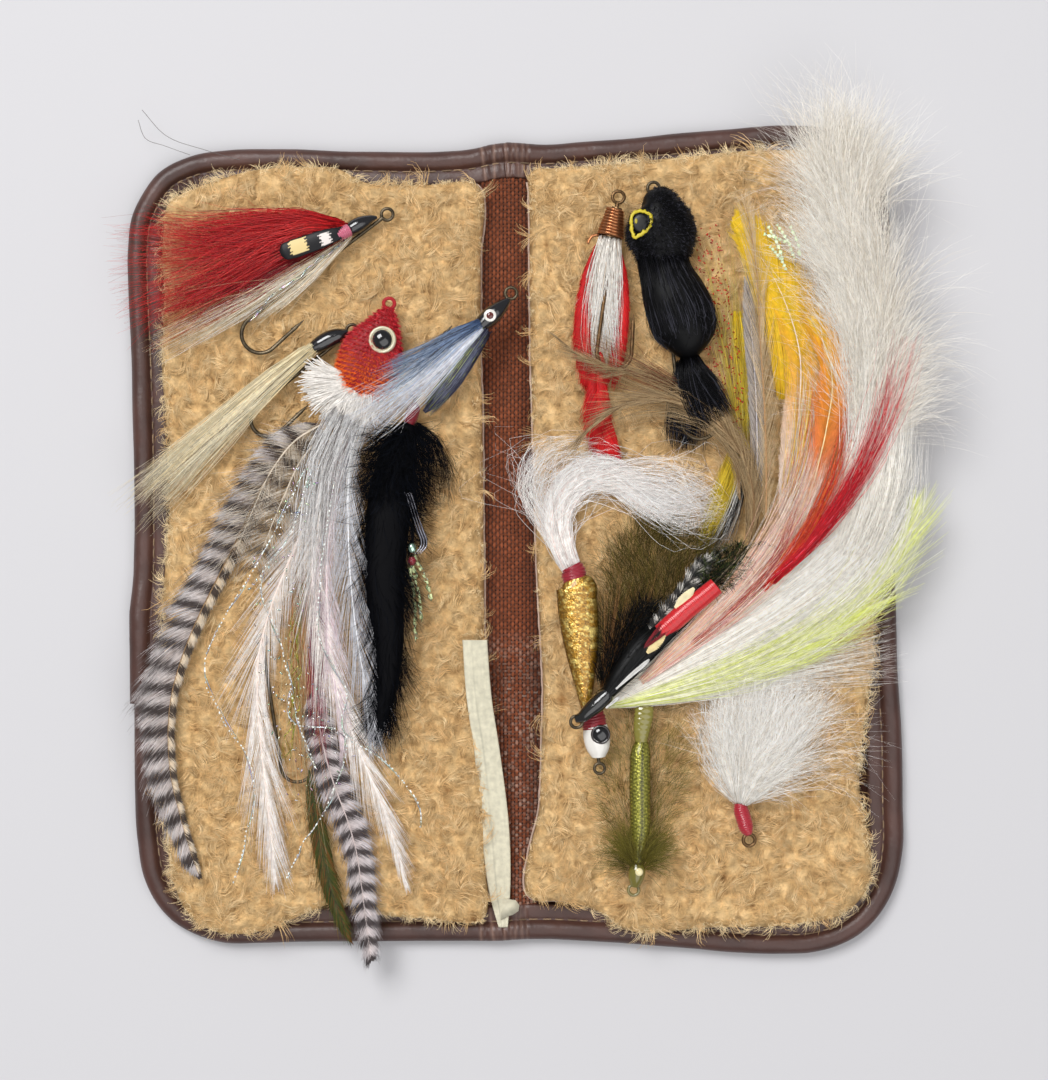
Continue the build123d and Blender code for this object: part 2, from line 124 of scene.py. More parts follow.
def spline(points, count, closed=False):
    """A smooth run through points, any columns, spaced by its first three."""
    p = np.asarray(points, float)
    total = len(p)
    if closed:
        p = np.vstack([p[-2:], p, p[:3]])
    step = np.linalg.norm(np.diff(p[:, :3], axis=0), axis=1)
    t = np.concatenate([[0], np.cumsum(np.maximum(step, 1e-6))])
    slope = np.gradient(p, t, axis=0)
    if closed:
        at = np.linspace(t[2], t[total + 2], count, endpoint=False)
    else:
        at = np.linspace(t[0], t[-1], count)
    i = np.clip(np.searchsorted(t, at, side="right") - 1, 0, len(t) - 2)
    span = (t[i + 1] - t[i])[:, None]
    u = (at - t[i])[:, None] / span
    return (
        p[i] * (2 * u**3 - 3 * u**2 + 1)
        + slope[i] * span * (u**3 - 2 * u**2 + u)
        + p[i + 1] * (3 * u**2 - 2 * u**3)
        + slope[i + 1] * span * (u**3 - u**2)
    )


def scatter(i, j, seed):
    """A repeatable random number for each whole-number pair."""
    n = (i.astype(np.int64) * 374761393 + j.astype(np.int64) * 668265263 + seed * 974634777) & 0x7FFFFFFF
    n = ((n ^ (n >> 13)) * 1274126177) & 0x7FFFFFFF
    return ((n ^ (n >> 16)) & 0xFFFF) / 65535.0


def ripple(x, y, scale, seed=0):
    """Smooth noise from -1 to 1 whose lumps are scale wide."""
    x, y = np.asarray(x, float) / scale, np.asarray(y, float) / scale
    i, j = np.floor(x), np.floor(y)
    u, v = x - i, y - j
    u, v = u * u * (3 - 2 * u), v * v * (3 - 2 * v)
    low = scatter(i, j, seed) * (1 - u) + scatter(i + 1, j, seed) * u
    high = scatter(i, j + 1, seed) * (1 - u) + scatter(i + 1, j + 1, seed) * u
    return 2 * (low * (1 - v) + high * v) - 1


def lumps(x, y, scale, seed=0):
    """Rounded lumps packed side by side: 1 on each crown, 0 in the gaps."""
    x, y = np.asarray(x, float) / scale, np.asarray(y, float) / scale
    i, j = np.floor(x), np.floor(y)
    nearest = np.full(np.shape(x), 9.0)
    for di in (-1, 0, 1):
        for dj in (-1, 0, 1):
            ci, cj = i + di, j + dj
            cx = ci + 0.15 + 0.7 * scatter(ci, cj, seed)
            cy = cj + 0.15 + 0.7 * scatter(ci, cj, seed + 7)
            nearest = np.minimum(nearest, (x - cx) ** 2 + (y - cy) ** 2)
    return np.sqrt(np.clip(1 - nearest / 0.75, 0, 1))


def inside(x, y, outline):
    """Which points lie within a closed outline."""
    hit = np.zeros(np.shape(x), bool)
    for (x0, y0), (x1, y1) in zip(outline, np.roll(outline, -1, axis=0)):
        if y0 == y1:
            continue
        hit ^= ((y0 > y) != (y1 > y)) & (x < (x1 - x0) * (y - y0) / (y1 - y0) + x0)
    return hit


# Meshes
STRAND_SHARE = 0.56


class Soup:
    """Points, faces and tones gathered into one mesh."""

    def __init__(self):
        self.points, self.tones, self.faces, self.count = [], [], [], 0

    def add(self, points, faces, tones):
        points = np.asarray(points, float).reshape(-1, 3)
        tones = np.broadcast_to(np.asarray(tones, float).reshape(-1, 3), points.shape)
        self.faces += [np.asarray(f, np.int64) + self.count for f in faces]
        self.points.append(points)
        self.tones.append(tones)
        self.count += len(points)

    def make(self, name, material):
        points = np.concatenate(self.points) * MM
        tones = np.ones((len(points), 4), np.float32)
        tones[:, :3] = np.concatenate(self.tones)
        corners = np.concatenate([f.ravel() for f in self.faces]).astype(np.int32)
        sizes = np.concatenate([np.full(len(f), f.shape[1]) for f in self.faces])
        starts = np.concatenate([[0], np.cumsum(sizes)[:-1]]).astype(np.int32)
        data = bpy.data.meshes.new(name)
        data.vertices.add(len(points))
        data.vertices.foreach_set("co", points.astype(np.float32).ravel())
        data.loops.add(len(corners))
        data.loops.foreach_set("vertex_index", corners)
        data.polygons.add(len(sizes))
        data.polygons.foreach_set("loop_start", starts)
        data.polygons.foreach_set("use_smooth", np.full(len(sizes), True))
        data.update(calc_edges=True)
        tone = data.color_attributes.new("tone", "FLOAT_COLOR", "POINT")
        tone.data.foreach_set("color", tones.ravel())
        data.materials.append(material)
        piece = bpy.data.objects.new(name, data)
        bpy.context.scene.collection.objects.link(piece)
        return piece


def grid_faces(rows, columns, wrap=True, loop=False):
    """Quads between rows of points; wrap joins each row's ends, loop the first and last row."""
    r = np.arange(rows if loop else rows - 1)[:, None]
    c = np.arange(columns if wrap else columns - 1)[None, :]
    here, there = r * columns, (r + 1) % rows * columns
    n = (c + 1) % columns
    return np.stack([here + c, here + n, there + n, there + c], -1).reshape(-1, 4)


def tubes(soup, paths, radii, tones, sides=3, flat=1.0, twist=0.0, every_step=False):
    """Closed tubes along paths (strand, step, xyz); flat squeezes them top to bottom.

    Three-sided strands are built on the share of their steps that their curve needs."""
    count, steps = paths.shape[:2]
    if sides == 3 and steps > 3 and not every_step:
        steps = max(round(STRAND_SHARE * steps), min(steps - 1, 5))
        kept = np.linspace(0, paths.shape[1] - 1, steps).round().astype(int)
        paths, radii, tones = paths[:, kept], radii[:, kept], tones[:, kept]
    run = unit(np.gradient(paths, axis=1))
    upright = np.abs(run[:, 0, 2:3]) > 0.9
    ref = np.where(upright, [1.0, 0, 0], [0, 0, 1.0])
    across = unit(np.cross(ref, run[:, 0]))
    rings = np.empty((count, steps, sides, 3))
    for m in range(steps):
        t = run[:, m]
        across = unit(across - t * np.sum(across * t, -1, keepdims=True))
        up = np.cross(t, across)
        r = radii[:, m, None]
        for k in range(sides):
            a = 2 * PI * k / sides
            ca, sa = math.cos(a) * r, math.sin(a) * r * flat
            turn = twist * m
            rings[:, m, k] = (
                paths[:, m]
                + across * (ca * math.cos(turn) - sa * math.sin(turn))
                + up * (ca * math.sin(turn) + sa * math.cos(turn))
            )
    one = grid_faces(steps, sides)
    base = np.arange(count)[:, None, None] * steps * sides
    walls = (one[None] + base).reshape(-1, 4)
    first = np.arange(sides)[::-1][None] + base[:, 0]
    last = np.arange(sides)[None] + (steps - 1) * sides + base[:, 0]
    tones = np.broadcast_to(tones[:, :, None, :], (count, steps, sides, 3))
    soup.add(rings, [walls, np.concatenate([first, last])], tones)


def thread(soup, points, radius, tone, sides=6):
    """One tube through given points."""
    path = spline(points, 6 * len(points))[:, :3]
    size = np.broadcast_to(radius, (len(path),)) if np.ndim(radius) else np.full(len(path), radius)
    tubes(soup, path[None], size[None], np.broadcast_to(tone, (1, len(path), 3)), sides)


def blob(soup, centre, size, tone, rows=18, columns=28):
    """A ball stretched to size."""
    v = np.linspace(0, PI, rows + 1)[1:-1]
    w = np.arange(columns) * 2 * PI / columns
    z = np.cos(v)[:, None] + 0 * w
    p = np.stack([np.sin(v)[:, None] * np.cos(w), np.sin(v)[:, None] * np.sin(w), z], -1)
    p = p * np.asarray(size) + np.asarray(centre)
    lids = [np.arange(columns)[None], np.arange(columns)[::-1][None] + (len(v) - 1) * columns]
    faces = grid_faces(len(v), columns)[:, ::-1]
    soup.add(p, [faces, *lids], tone)


def hoop(soup, centre, radius, wire, tone, lean=0.0, sides=10, steps=40):
    """A closed ring, lying flat unless it leans."""
    a = np.arange(steps) * 2 * PI / steps
    b = np.arange(sides) * 2 * PI / sides
    r = radius + wire * np.cos(b)[None, :] + 0 * a[:, None]
    p = np.stack([np.cos(a)[:, None] * r, np.sin(a)[:, None] * r, np.sin(b)[None, :] * wire + 0 * r], -1)
    cl, sl = math.cos(lean), math.sin(lean)
    p = p @ np.array([[1, 0, 0], [0, cl, sl], [0, -sl, cl]])
    soup.add(p + np.asarray(centre), [grid_faces(steps, sides, loop=True)], tone)


# Materials
def surface(name, rough=0.5, metal=0.0, coat=0.0, sheen=0.0, shine=0.5):
    """A material that shows each point's tone."""
    material = bpy.data.materials.new(name)
    material.use_nodes = True
    nodes, links = material.node_tree.nodes, material.node_tree.links
    shader = nodes["Principled BSDF"]
    shader.inputs["Roughness"].default_value = rough
    shader.inputs["Metallic"].default_value = metal
    shader.inputs["Coat Weight"].default_value = coat
    shader.inputs["Sheen Weight"].default_value = sheen
    shader.inputs["Specular IOR Level"].default_value = shine
    tone = nodes.new("ShaderNodeAttribute")
    tone.attribute_name = "tone"
    links.new(tone.outputs["Color"], shader.inputs["Base Color"])
    return material


def noise(material, scale, detail=4.0, kind="ShaderNodeTexNoise"):
    """A noise node, whose scale is lumps to the millimetre."""
    nodes, links = material.node_tree.nodes, material.node_tree.links
    place = nodes.new("ShaderNodeTexCoord")
    texture = nodes.new(kind)
    texture.inputs["Scale"].default_value = scale / MM
    if kind == "ShaderNodeTexNoise":
        texture.inputs["Detail"].default_value = detail
    links.new(place.outputs["Object"], texture.inputs["Vector"])
    return texture.outputs["Fac" if kind == "ShaderNodeTexNoise" else "Distance"]


def mottle(material, scale, dark, light, detail=4.0):
    """Varies the tone between two shades of itself."""
    nodes, links = material.node_tree.nodes, material.node_tree.links
    shader = nodes["Principled BSDF"]
    ramp = nodes.new("ShaderNodeValToRGB")
    ramp.color_ramp.elements[0].position, ramp.color_ramp.elements[1].position = 0.3, 0.7
    ramp.color_ramp.elements[0].color = (dark, dark, dark, 1)
    ramp.color_ramp.elements[1].color = (light, light, light, 1)
    links.new(noise(material, scale, detail), ramp.inputs["Fac"])
    mix = nodes.new("ShaderNodeMix")
    mix.data_type, mix.blend_type = "RGBA", "MULTIPLY"
    mix.inputs["Factor"].default_value = 1
    before = shader.inputs["Base Color"].links[0].from_socket
    links.new(before, mix.inputs["A"])
    links.new(ramp.outputs["Color"], mix.inputs["B"])
    links.new(mix.outputs["Result"], shader.inputs["Base Color"])


def grain(material, scale, depth, kind="ShaderNodeTexNoise", detail=4.0):
    """A bump of noise, depth in millimetres."""
    nodes, links = material.node_tree.nodes, material.node_tree.links
    shader = nodes["Principled BSDF"]
    bump = nodes.new("ShaderNodeBump")
    bump.inputs["Distance"].default_value = depth * MM
    links.new(noise(material, scale, detail, kind), bump.inputs["Height"])
    if shader.inputs["Normal"].links:
        links.new(shader.inputs["Normal"].links[0].from_socket, bump.inputs["Normal"])
    links.new(bump.outputs["Normal"], shader.inputs["Normal"])


def leather_finish(name, rough):
    """Leather with broad mottling, pores and a fine grain."""
    material = surface(name, rough=rough, shine=0.5)
    mottle(material, 0.12, 0.8, 1.15, 6)
    grain(material, 1.2, 0.035, "ShaderNodeTexVoronoi")
    grain(material, 4.0, 0.02)
    return material


def ease_upward(material, share):
    """Turns the shading of thin fibres partly toward the sky, as a soft mass of them looks."""
    nodes, links = material.node_tree.nodes, material.node_tree.links
    form = nodes.new("ShaderNodeNewGeometry")
    lift = nodes.new("ShaderNodeVectorMath")
    lift.operation = "MULTIPLY_ADD"
    lift.inputs[1].default_value = (1 - share,) * 3
    lift.inputs[2].default_value = (0, 0, share)
    turn = nodes.new("ShaderNodeVectorMath")
    turn.operation = "NORMALIZE"
    links.new(form.outputs["Normal"], lift.inputs[0])
    links.new(lift.outputs["Vector"], turn.inputs[0])
    links.new(turn.outputs["Vector"], nodes["Principled BSDF"].inputs["Normal"])


def fibre_finish(name, rough=0.5, sheen=0.15, shine=0.4, ease=0.0, glow=0.0):
    """Fibres: glow stands for the light that scatters between pale ones."""
    material = surface(name, rough=rough, sheen=sheen, shine=shine)
    mottle(material, 0.8, 0.86, 1.1)
    shader = material.node_tree.nodes["Principled BSDF"]
    if glow:
        shader.inputs["Emission Strength"].default_value = glow
        shown = shader.inputs["Base Color"].links[0].from_socket
        material.node_tree.links.new(shown, shader.inputs["Emission Color"])
    if ease:
        ease_upward(material, ease)
    return material


def metal_finish(name, rgb, rough=0.35):
    """Metal for the CAD hooks, which hold no tones: a mottled colour of its own."""
    material = surface(name, rough=rough, metal=0.9)
    nodes, links = material.node_tree.nodes, material.node_tree.links
    ramp = nodes.new("ShaderNodeValToRGB")
    for stop, share in zip(ramp.color_ramp.elements, (0.55, 1.25)):
        stop.color = (*np.clip(linear(rgb) * share, 0, 1), 1)
    ramp.color_ramp.elements[0].position, ramp.color_ramp.elements[1].position = 0.35, 0.65
    links.new(noise(material, 0.9, 5), ramp.inputs["Fac"])
    links.new(ramp.outputs["Color"], nodes["Principled BSDF"].inputs["Base Color"])
    grain(material, 5.0, 0.02)
    return material


LEATHER = leather_finish("leather", 0.6)
BINDING_LEATHER = leather_finish("binding_leather", 0.42)
COTTON = fibre_finish("cotton", 0.85, 0.1, 0.2)
WOOL = fibre_finish("wool", 0.8, 0.1, 0.15, ease=0.5, glow=0.1)
PILE = fibre_finish("wool_ground", 0.9, 0.0, 0.1, glow=0.08)
mottle(PILE, 0.4, 0.7, 1.2)
grain(PILE, 0.8, 0.7)
grain(PILE, 3.0, 0.35)
HAIR = fibre_finish("hair", 0.42, 0.0, 0.25, ease=0.35)
PALE_HAIR = fibre_finish("pale_hair", 0.45, 0.0, 0.35, ease=0.45, glow=0.13)
SOFT_HAIR = fibre_finish("soft_hair", 0.6, 0.0, 0.25, ease=0.3)
PALE_FUR = fibre_finish("pale_fur", 0.6, 0.0, 0.2, ease=0.45, glow=0.14)
FEATHER = fibre_finish("feather", 0.5, 0.0, 0.3, ease=0.45)
DARK_FUR = fibre_finish("dark_fur", 0.55, 0.0, 0.07)
DARK_HAIR = fibre_finish("dark_hair", 0.38, 0.0, 0.14)
PALE_FEATHER = fibre_finish("pale_feather", 0.5, 0.0, 0.3, ease=0.45, glow=0.07)
PAPER = fibre_finish("paper", 0.8, 0.0, 0.2)
LACQUER = surface("lacquer", rough=0.12, coat=0.8)
ENAMEL = surface("enamel", rough=0.42, shine=0.25)
grain(LACQUER, 1.1, 0.06)
FLOSS = surface("floss", rough=0.22, coat=0.3, sheen=0.2)
grain(FLOSS, 6.0, 0.04)
FLASH = surface("flash", rough=0.16, metal=1.0)
# A glowing finish for painted glints on tinsel
GLINT = fibre_finish("glint", 0.2, 0.0, 0.8, ease=0.3, glow=0.25)
GLITTER = surface("glitter", rough=0.18, metal=0.55, coat=0.6)
mottle(GLITTER, 2.2, 0.45, 1.5)
grain(GLITTER, 2.6, 0.12, "ShaderNodeTexVoronoi")
COPPER = surface("copper", rough=0.28, metal=0.85)
mottle(COPPER, 1.5, 0.8, 1.15)
STEEL = metal_finish("hook_steel", (92, 82, 66))
BRONZE = metal_finish("hook_bronze", (112, 86, 58))


def settle(piece, body, slot, *hides):
    """Puts a piece on its body and hides the CAD parts it replaces; a soft one near the fold gets a mesh of
    its own.
    """
    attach(piece, body)
    keep = [share for word, share in KEEP.items() if piece.name.startswith(word)]
    if keep:
        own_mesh(piece)
    if hides:
        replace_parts(piece, *hides)
    return piece


@contextmanager
def building(name, material, body, slot, *hides):
    """A soup to fill with forms; they become one piece, settled on its body."""
    soup = Soup()
    yield soup
    settle(soup.make(name, material), body, slot, *hides)


# Outline
# The wallet's edge in the photo, clockwise from the top of the spine
EDGE = [
    (506, 142.6), (520, 143), (541, 144), (585, 141), (633, 138), (680, 133.5), (725, 129), (765, 126.2),
    (800, 126), (838, 131), (866, 146), (882, 172), (888, 210), (889, 300), (891, 400), (893.5, 500),
    (896, 609), (898, 675), (901.5, 735), (902.5, 800), (902.5, 850), (895, 887), (881, 913), (863, 932),
    (841, 945), (812, 953), (780, 954.5), (735, 953), (690, 948.5), (640, 944), (590, 941), (544, 939),
    (520, 939.5), (500, 941), (465, 941.3), (430, 941), (365, 941.5), (300, 942), (260, 943.5),
    (222, 942.5), (198, 935.5), (173, 921), (156, 902), (144, 877), (137.5, 840), (135.2, 790),
    (134.4, 710), (134.2, 650), (133.6, 600), (133.9, 500), (132.6, 420), (129.8, 340), (127.6, 290),
    (127.4, 249), (132, 215), (142, 194), (158, 173), (191, 156), (230, 150.5), (275, 149.5), (360, 151),
    (440, 151.2), (475, 148), (490, 144.4),
]
EDGE_Z = 2.2
STEPS = 2000


def edge_points():
    """The wallet's edge at even steps."""
    x, y, z = spot(*np.array(EDGE).T, EDGE_Z)
    run = spline(np.stack([x, y, z], -1), STEPS, closed=True)
    return run[:, :2]


RIM = edge_points()
RIM_RUN = unit(np.roll(RIM, -1, axis=0) - np.roll(RIM, 1, axis=0))
RIM_IN = np.stack([RIM_RUN[:, 1], -RIM_RUN[:, 0]], -1)
RIM_AT = np.concatenate([[0], np.cumsum(np.linalg.norm(np.diff(RIM, axis=0), axis=1))])


def rim_inset(distance):
    """The edge moved inward, its normals eased so tight corners stay even."""
    window = np.ones(41) / 41
    eased = [np.convolve(np.tile(c, 3), window, "same")[STEPS:-STEPS] for c in RIM_IN.T]
    return RIM + unit(np.stack(eased, -1)) * distance


def crossing(sign):
    """The step where the edge passes the spine's middle: sign 1 at the top, -1 at the bottom."""
    side = RIM[:, 0] > 0
    change = np.nonzero(side != np.roll(side, -1))[0]
    return int([i for i in change if RIM[i, 1] * sign > 0][0])


RIM_TOP, RIM_BOTTOM = crossing(1), crossing(-1)

# Binding
BINDING_TONE = linear((74, 48, 41))
CREASE_TONE = linear((132, 102, 88))
STITCH_IN = 4.75
PROFILE = [
    (8.2, 2.15), (8.24, 2.7), (8.05, 2.98), (7.4, 3.06), (6.4, 3.02), (5.6, 2.95), (5.05, 2.78),
    (STITCH_IN, 2.62), (4.45, 2.9), (4.15, 3.4), (3.7, 3.82), (3.1, 4.08), (2.4, 4.18), (1.7, 4.1),
    (1.05, 3.82), (0.5, 3.3), (0.13, 2.65), (0, 1.95), (0.08, 1.25), (0.35, 0.62), (0.85, 0.2), (1.6, 0.02),
    (2.8, 0), (4.2, 0.02), (STITCH_IN, 0.32), (5.3, 0.02), (6.6, 0), (8.1, 0), (8.22, 0.5), (8.2, 1.4),
]
SPINE_CREASES = (-5.2, -3.9, -2.6, -1.2, 0.4, 1.7, 3.1, 4.3, 5.5)
LAP_FOOT_AT, LAP_HEAD_AT, CORNER_AT = (130, 703), (130, 570), (215, 260)
LAP_FOOT = spot(*LAP_FOOT_AT, EDGE_Z)[1]
LAP_GROW = 0.95


def lap_growth(y):
    """How far the lapping end stands out over the end below it."""
    rise = np.clip((spot(*LAP_HEAD_AT, EDGE_Z)[1] - y) / 12, 0, 1)
    return LAP_GROW * rise * rise * (3 - 2 * rise)


def binding_shape(steps, grow):
    """The binding's skin over some steps of the edge, with its pleats, creases and dents."""
    at = RIM_AT[steps]
    d, z = np.array(PROFILE).T
    d, z = d[None] + 0 * at[:, None], z[None] + 0 * at[:, None]
    x, y = RIM[steps].T
    band = np.clip((d - 4.9) / 0.8, 0, 1) * (z > 2.2)
    roll = (z > 0.7) * np.clip((4.6 - d) / 1.2, 0, 1)
    corner_x, corner_y, _ = spot(*CORNER_AT, 3)
    corner = np.clip((corner_x - x) / 8, 0, 1) * np.clip((y - corner_y) / 8, 0, 1)
    pleat = np.sin(at * 2 * PI / 1.75 + 2.2 * ripple(at, 0, 5, 3))
    z = z + (corner * pleat)[:, None] * band * 0.34 + (corner * 0.3)[:, None] * band
    z = z + band * 0.1 * ripple(at[:, None], d * 3, 2.6, 5)
    z = z + roll * (0.16 * ripple(at[:, None], 0, 9, 8) + 0.07 * ripple(at[:, None], d * 2, 2.2, 9))
    d = d + roll * 0.16 * ripple(at[:, None], z, 13, 11)
    pale = np.zeros_like(z)
    for n, crease in enumerate(SPINE_CREASES):
        slant = crease + 0.25 * (d - 4) * math.sin(n * 2.3) * 0.4
        dip = np.exp(-(((x[:, None] - slant) / 0.32) ** 2)) * (z > 0.6)
        z = z - dip * (0.2 + 0.1 * math.sin(n * 1.7))
        pale = np.maximum(pale, dip * (0.45 + 0.4 * math.cos(n * 2.9)))
    hump = np.exp(-((x[:, None] / 5.5) ** 2)) * (z > 2.2)
    z = z + hump * 0.25
    out = grow[:, None] * (1 - np.clip(d / 5, 0, 1) * 0.3)
    z = z + grow[:, None] * 0.75 * (z > 2)
    inward = rim_inset(1.0)[steps] - RIM[steps]
    place = RIM[steps][:, None] + inward[:, None] * (d - out)[..., None]
    worn = 0.5 + 0.5 * ripple(at[:, None], d * 2, 6, 21)
    tone = BINDING_TONE * (0.8 + 0.5 * worn)[..., None]
    tone = tone + (CREASE_TONE - tone) * np.clip(pale, 0, 1)[..., None]
    return np.concatenate([place, z[..., None]], -1), tone


def binding_piece(name, first, last, node, grow=None):
    """One run of the binding, from a step of the edge to another."""
    steps = np.arange(first, last + 1 if last > first else last + 1 + STEPS) % STEPS
    growth = np.zeros(len(steps)) if grow is None else grow(RIM[steps][:, 1])
    points, tone = binding_shape(steps, growth)
    soup = Soup()
    columns = len(PROFILE)
    ends = np.arange(columns)[None]
    faces = grid_faces(len(steps), columns)
    soup.add(points, [faces, ends[:, ::-1], ends + (len(steps) - 1) * columns], tone.reshape(-1, 3))
    piece = soup.make(name, BINDING_LEATHER)
    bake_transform(piece)
    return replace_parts(piece, *node)


LEFT_SPAN = (-FOLD_X - REACH, -FOLD_X + REACH)
RIGHT_SPAN = (FOLD_X - REACH, FOLD_X + REACH)
LEFT_PAIR, RIGHT_PAIR = ("left_panel", "spine"), ("spine", "right_panel")


def rim_step(y):
    """The step on the left side at a height in the picture."""
    left = np.nonzero(RIM[:, 0] < LEFT_SIDE)[0]
    return int(left[np.argmin(np.abs(RIM[left, 1] - y))])


LAP_STEP = rim_step(LAP_FOOT)
binding_piece("binding.right", RIM_TOP, RIM_BOTTOM, ("binding_right",))
LAP_OVER = 20
LOWER_NODES = ("binding_left_lower", "binding_spine_bottom")
UPPER_NODES = ("binding_left_upper", "binding_spine_top")
binding_piece("binding.left_lower", RIM_BOTTOM, LAP_STEP + LAP_OVER, LOWER_NODES)
binding_piece("binding.left_upper", LAP_STEP, RIM_TOP, UPPER_NODES, lap_growth)


DASH_STEPS = 7


def stitches(name, side):
    """Thread dashes through the binding, on its face and on its back."""
    soup = Soup()
    pitch, dash = 2.95, 2.3
    line = rim_inset(STITCH_IN)
    total = RIM_AT[-1]
    for n in range(int(total / pitch)):
        at = n * pitch + 0.4 * rng.uniform(-1, 1)
        spread = at + np.linspace(0, dash * rng.uniform(0.75, 1.1), DASH_STEPS)
        x = np.interp(spread, RIM_AT, line[:, 0])
        y = np.interp(spread, RIM_AT, line[:, 1])
        keep = rng.uniform() > 0.06
        if np.sign(x[3]) != side or not keep:
            continue
        lap = LAP_GROW * 0.75 if x[3] < LEFT_SIDE and LAP_FOOT < y[3] < LAP_FOOT + 14 else 0
        dip = np.sin(np.linspace(0, PI, DASH_STEPS)) ** 0.4
        tone = linear((150, 126, 100)) * rng.uniform(0.55, 1.15)
        for level, arch in ((2.5 + lap, 0.42), (0.42, -0.2)):
            path = np.stack([x, y, level + arch * dip], -1)
            size, shade = np.full((1, DASH_STEPS), 0.17), np.broadcast_to(tone, (1, DASH_STEPS, 3))
            tubes(soup, path[None], size, shade, 6)
    piece = soup.make(name, COTTON)
    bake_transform(piece)


stitches("stitches.left", -1)
stitches("stitches.right", 1)


# Cover and lining
SHEET_ROWS = 120


def column_sheet(name, side, inset, bottom, top, tone, material, nodes, wave=0.0):
    """A sheet that fills the outline from the spine's middle to one side."""
    outline = rim_inset(inset)
    reach = np.abs(outline[:, 0][outline[:, 0] * side > 0]).max() - 0.02
    ease = np.sin(np.linspace(0, PI / 2, 90)) * reach
    columns = np.union1d(np.linspace(0, 12, 40), ease[ease > 12]) * side
    count = SHEET_ROWS
    rows = np.linspace(0, 1, count)
    nxt = np.roll(outline, -1, axis=0)
    points = []
    for x in columns:
        cut = (outline[:, 0] > x) != (nxt[:, 0] > x)
        share = (x - outline[cut, 0]) / (nxt[cut, 0] - outline[cut, 0])
        y = outline[cut, 1] + share * (nxt[cut, 1] - outline[cut, 1])
        points.append(np.stack([np.full(count, x), y.min() + rows * (y.max() - y.min())], -1))
    flat = np.array(points)
    crease = np.exp(-(((np.abs(flat[..., 0]) - FOLD_X) / 0.8) ** 2)) * 0.18
    low = bottom + wave * (crease + 0.05 + 0.05 * ripple(flat[..., 0], flat[..., 1], 9, 31))
    both = np.stack([
        np.concatenate([flat, low[..., None]], -1),
        np.concatenate([flat, np.full(low.shape + (1,), top)], -1),
    ])
    last, layer = len(columns) - 1, len(columns) * count
    one = grid_faces(len(columns), count, wrap=False)
    loop = np.concatenate([
        np.arange(count), np.arange(1, last + 1) * count + count - 1,
        last * count + np.arange(count - 2, -1, -1), np.arange(last - 1, 0, -1) * count,
    ])
    wall = np.stack([loop, np.roll(loop, -1), np.roll(loop, -1) + layer, loop + layer], -1)
    faces = [one, one[:, ::-1] + layer, wall[:, ::-1]]
    if side > 0:
        faces = [f[:, ::-1] for f in faces]
    worn = 0.85 + 0.25 * ripple(both[..., 0], both[..., 1], 14, 33)
    soup = Soup()
    soup.add(both, faces, (tone * worn[..., None]).reshape(-1, 3))
    piece = soup.make(name, material)
    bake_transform(piece)
    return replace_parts(piece, *nodes)


COVER_TONE, CANVAS_DARK = linear((78, 52, 45)), linear((56, 28, 18))
for side, word, pair, span in ((-1, "left", LEFT_PAIR, LEFT_SPAN), (1, "right", RIGHT_PAIR, RIGHT_SPAN)):
    column_sheet(f"cover.{word}", side, BAND_REACH + 0.03, 0, COVER_TOP, COVER_TONE, LEATHER,
                 (f"cover_{word}", "cover_spine"), wave=1.0)
    column_sheet(f"lining.{word}", side, 6.5, COVER_TOP, CANVAS_TOP - 0.1, CANVAS_DARK, COTTON,
                 (f"lining_{word}", "lining_spine"))


# Bare canvas along the spine: warp cords over and under thinner weft
WARP, WEFT = 0.88, 0.84
CANVAS_SPAN = (-8.6, 10.2)
BARE_MIDDLE, WORN_BELOW = (512, 503), 630
CANVAS_TONE, WORN_TONE = linear((126, 68, 42)), linear((200, 178, 162))


def canvas_y(x, sign):
    """Where the binding's inner edge crosses x, at the top or the bottom."""
    edge = rim_inset(BAND_REACH - 0.3)
    near = edge[(edge[:, 1] * sign > 0) & (np.abs(edge[:, 0]) < 14)]
    near = near[np.argsort(near[:, 0])]
    return np.interp(x, near[:, 0], near[:, 1])


def canvas_tone(x, y, seed):
    """Cloth colour, with painted shade: darker beside the wool, and worn pale low down."""
    centre = spot(np.interp(y, [-90, 90], BARE_MIDDLE), 0, 2)[0]
    # Painted shade: the cloth darkens away from its bare middle, toward the wool pads that shade it
    shade = 1.15 - 0.6 * np.clip((np.abs(x - centre) - 2.5) / 4, 0, 1)
    shade = shade * (1 + 0.25 * ripple(x, y, 1.1, seed) + 0.12 * ripple(x, y, 6, seed + 1))
    low = np.clip((spot(0, WORN_BELOW, 2)[1] - y) / 3, 0, 1) * (0.55 + 0.45 * ripple(x, y, 9, seed + 2))
    speck = np.clip(ripple(x, y, 0.5, seed + 3) * 1.6 + 0.1, 0, 1) * low
    tone = CANVAS_TONE * shade[..., None]
    return tone + (WORN_TONE - tone) * (speck * 0.7)[..., None]


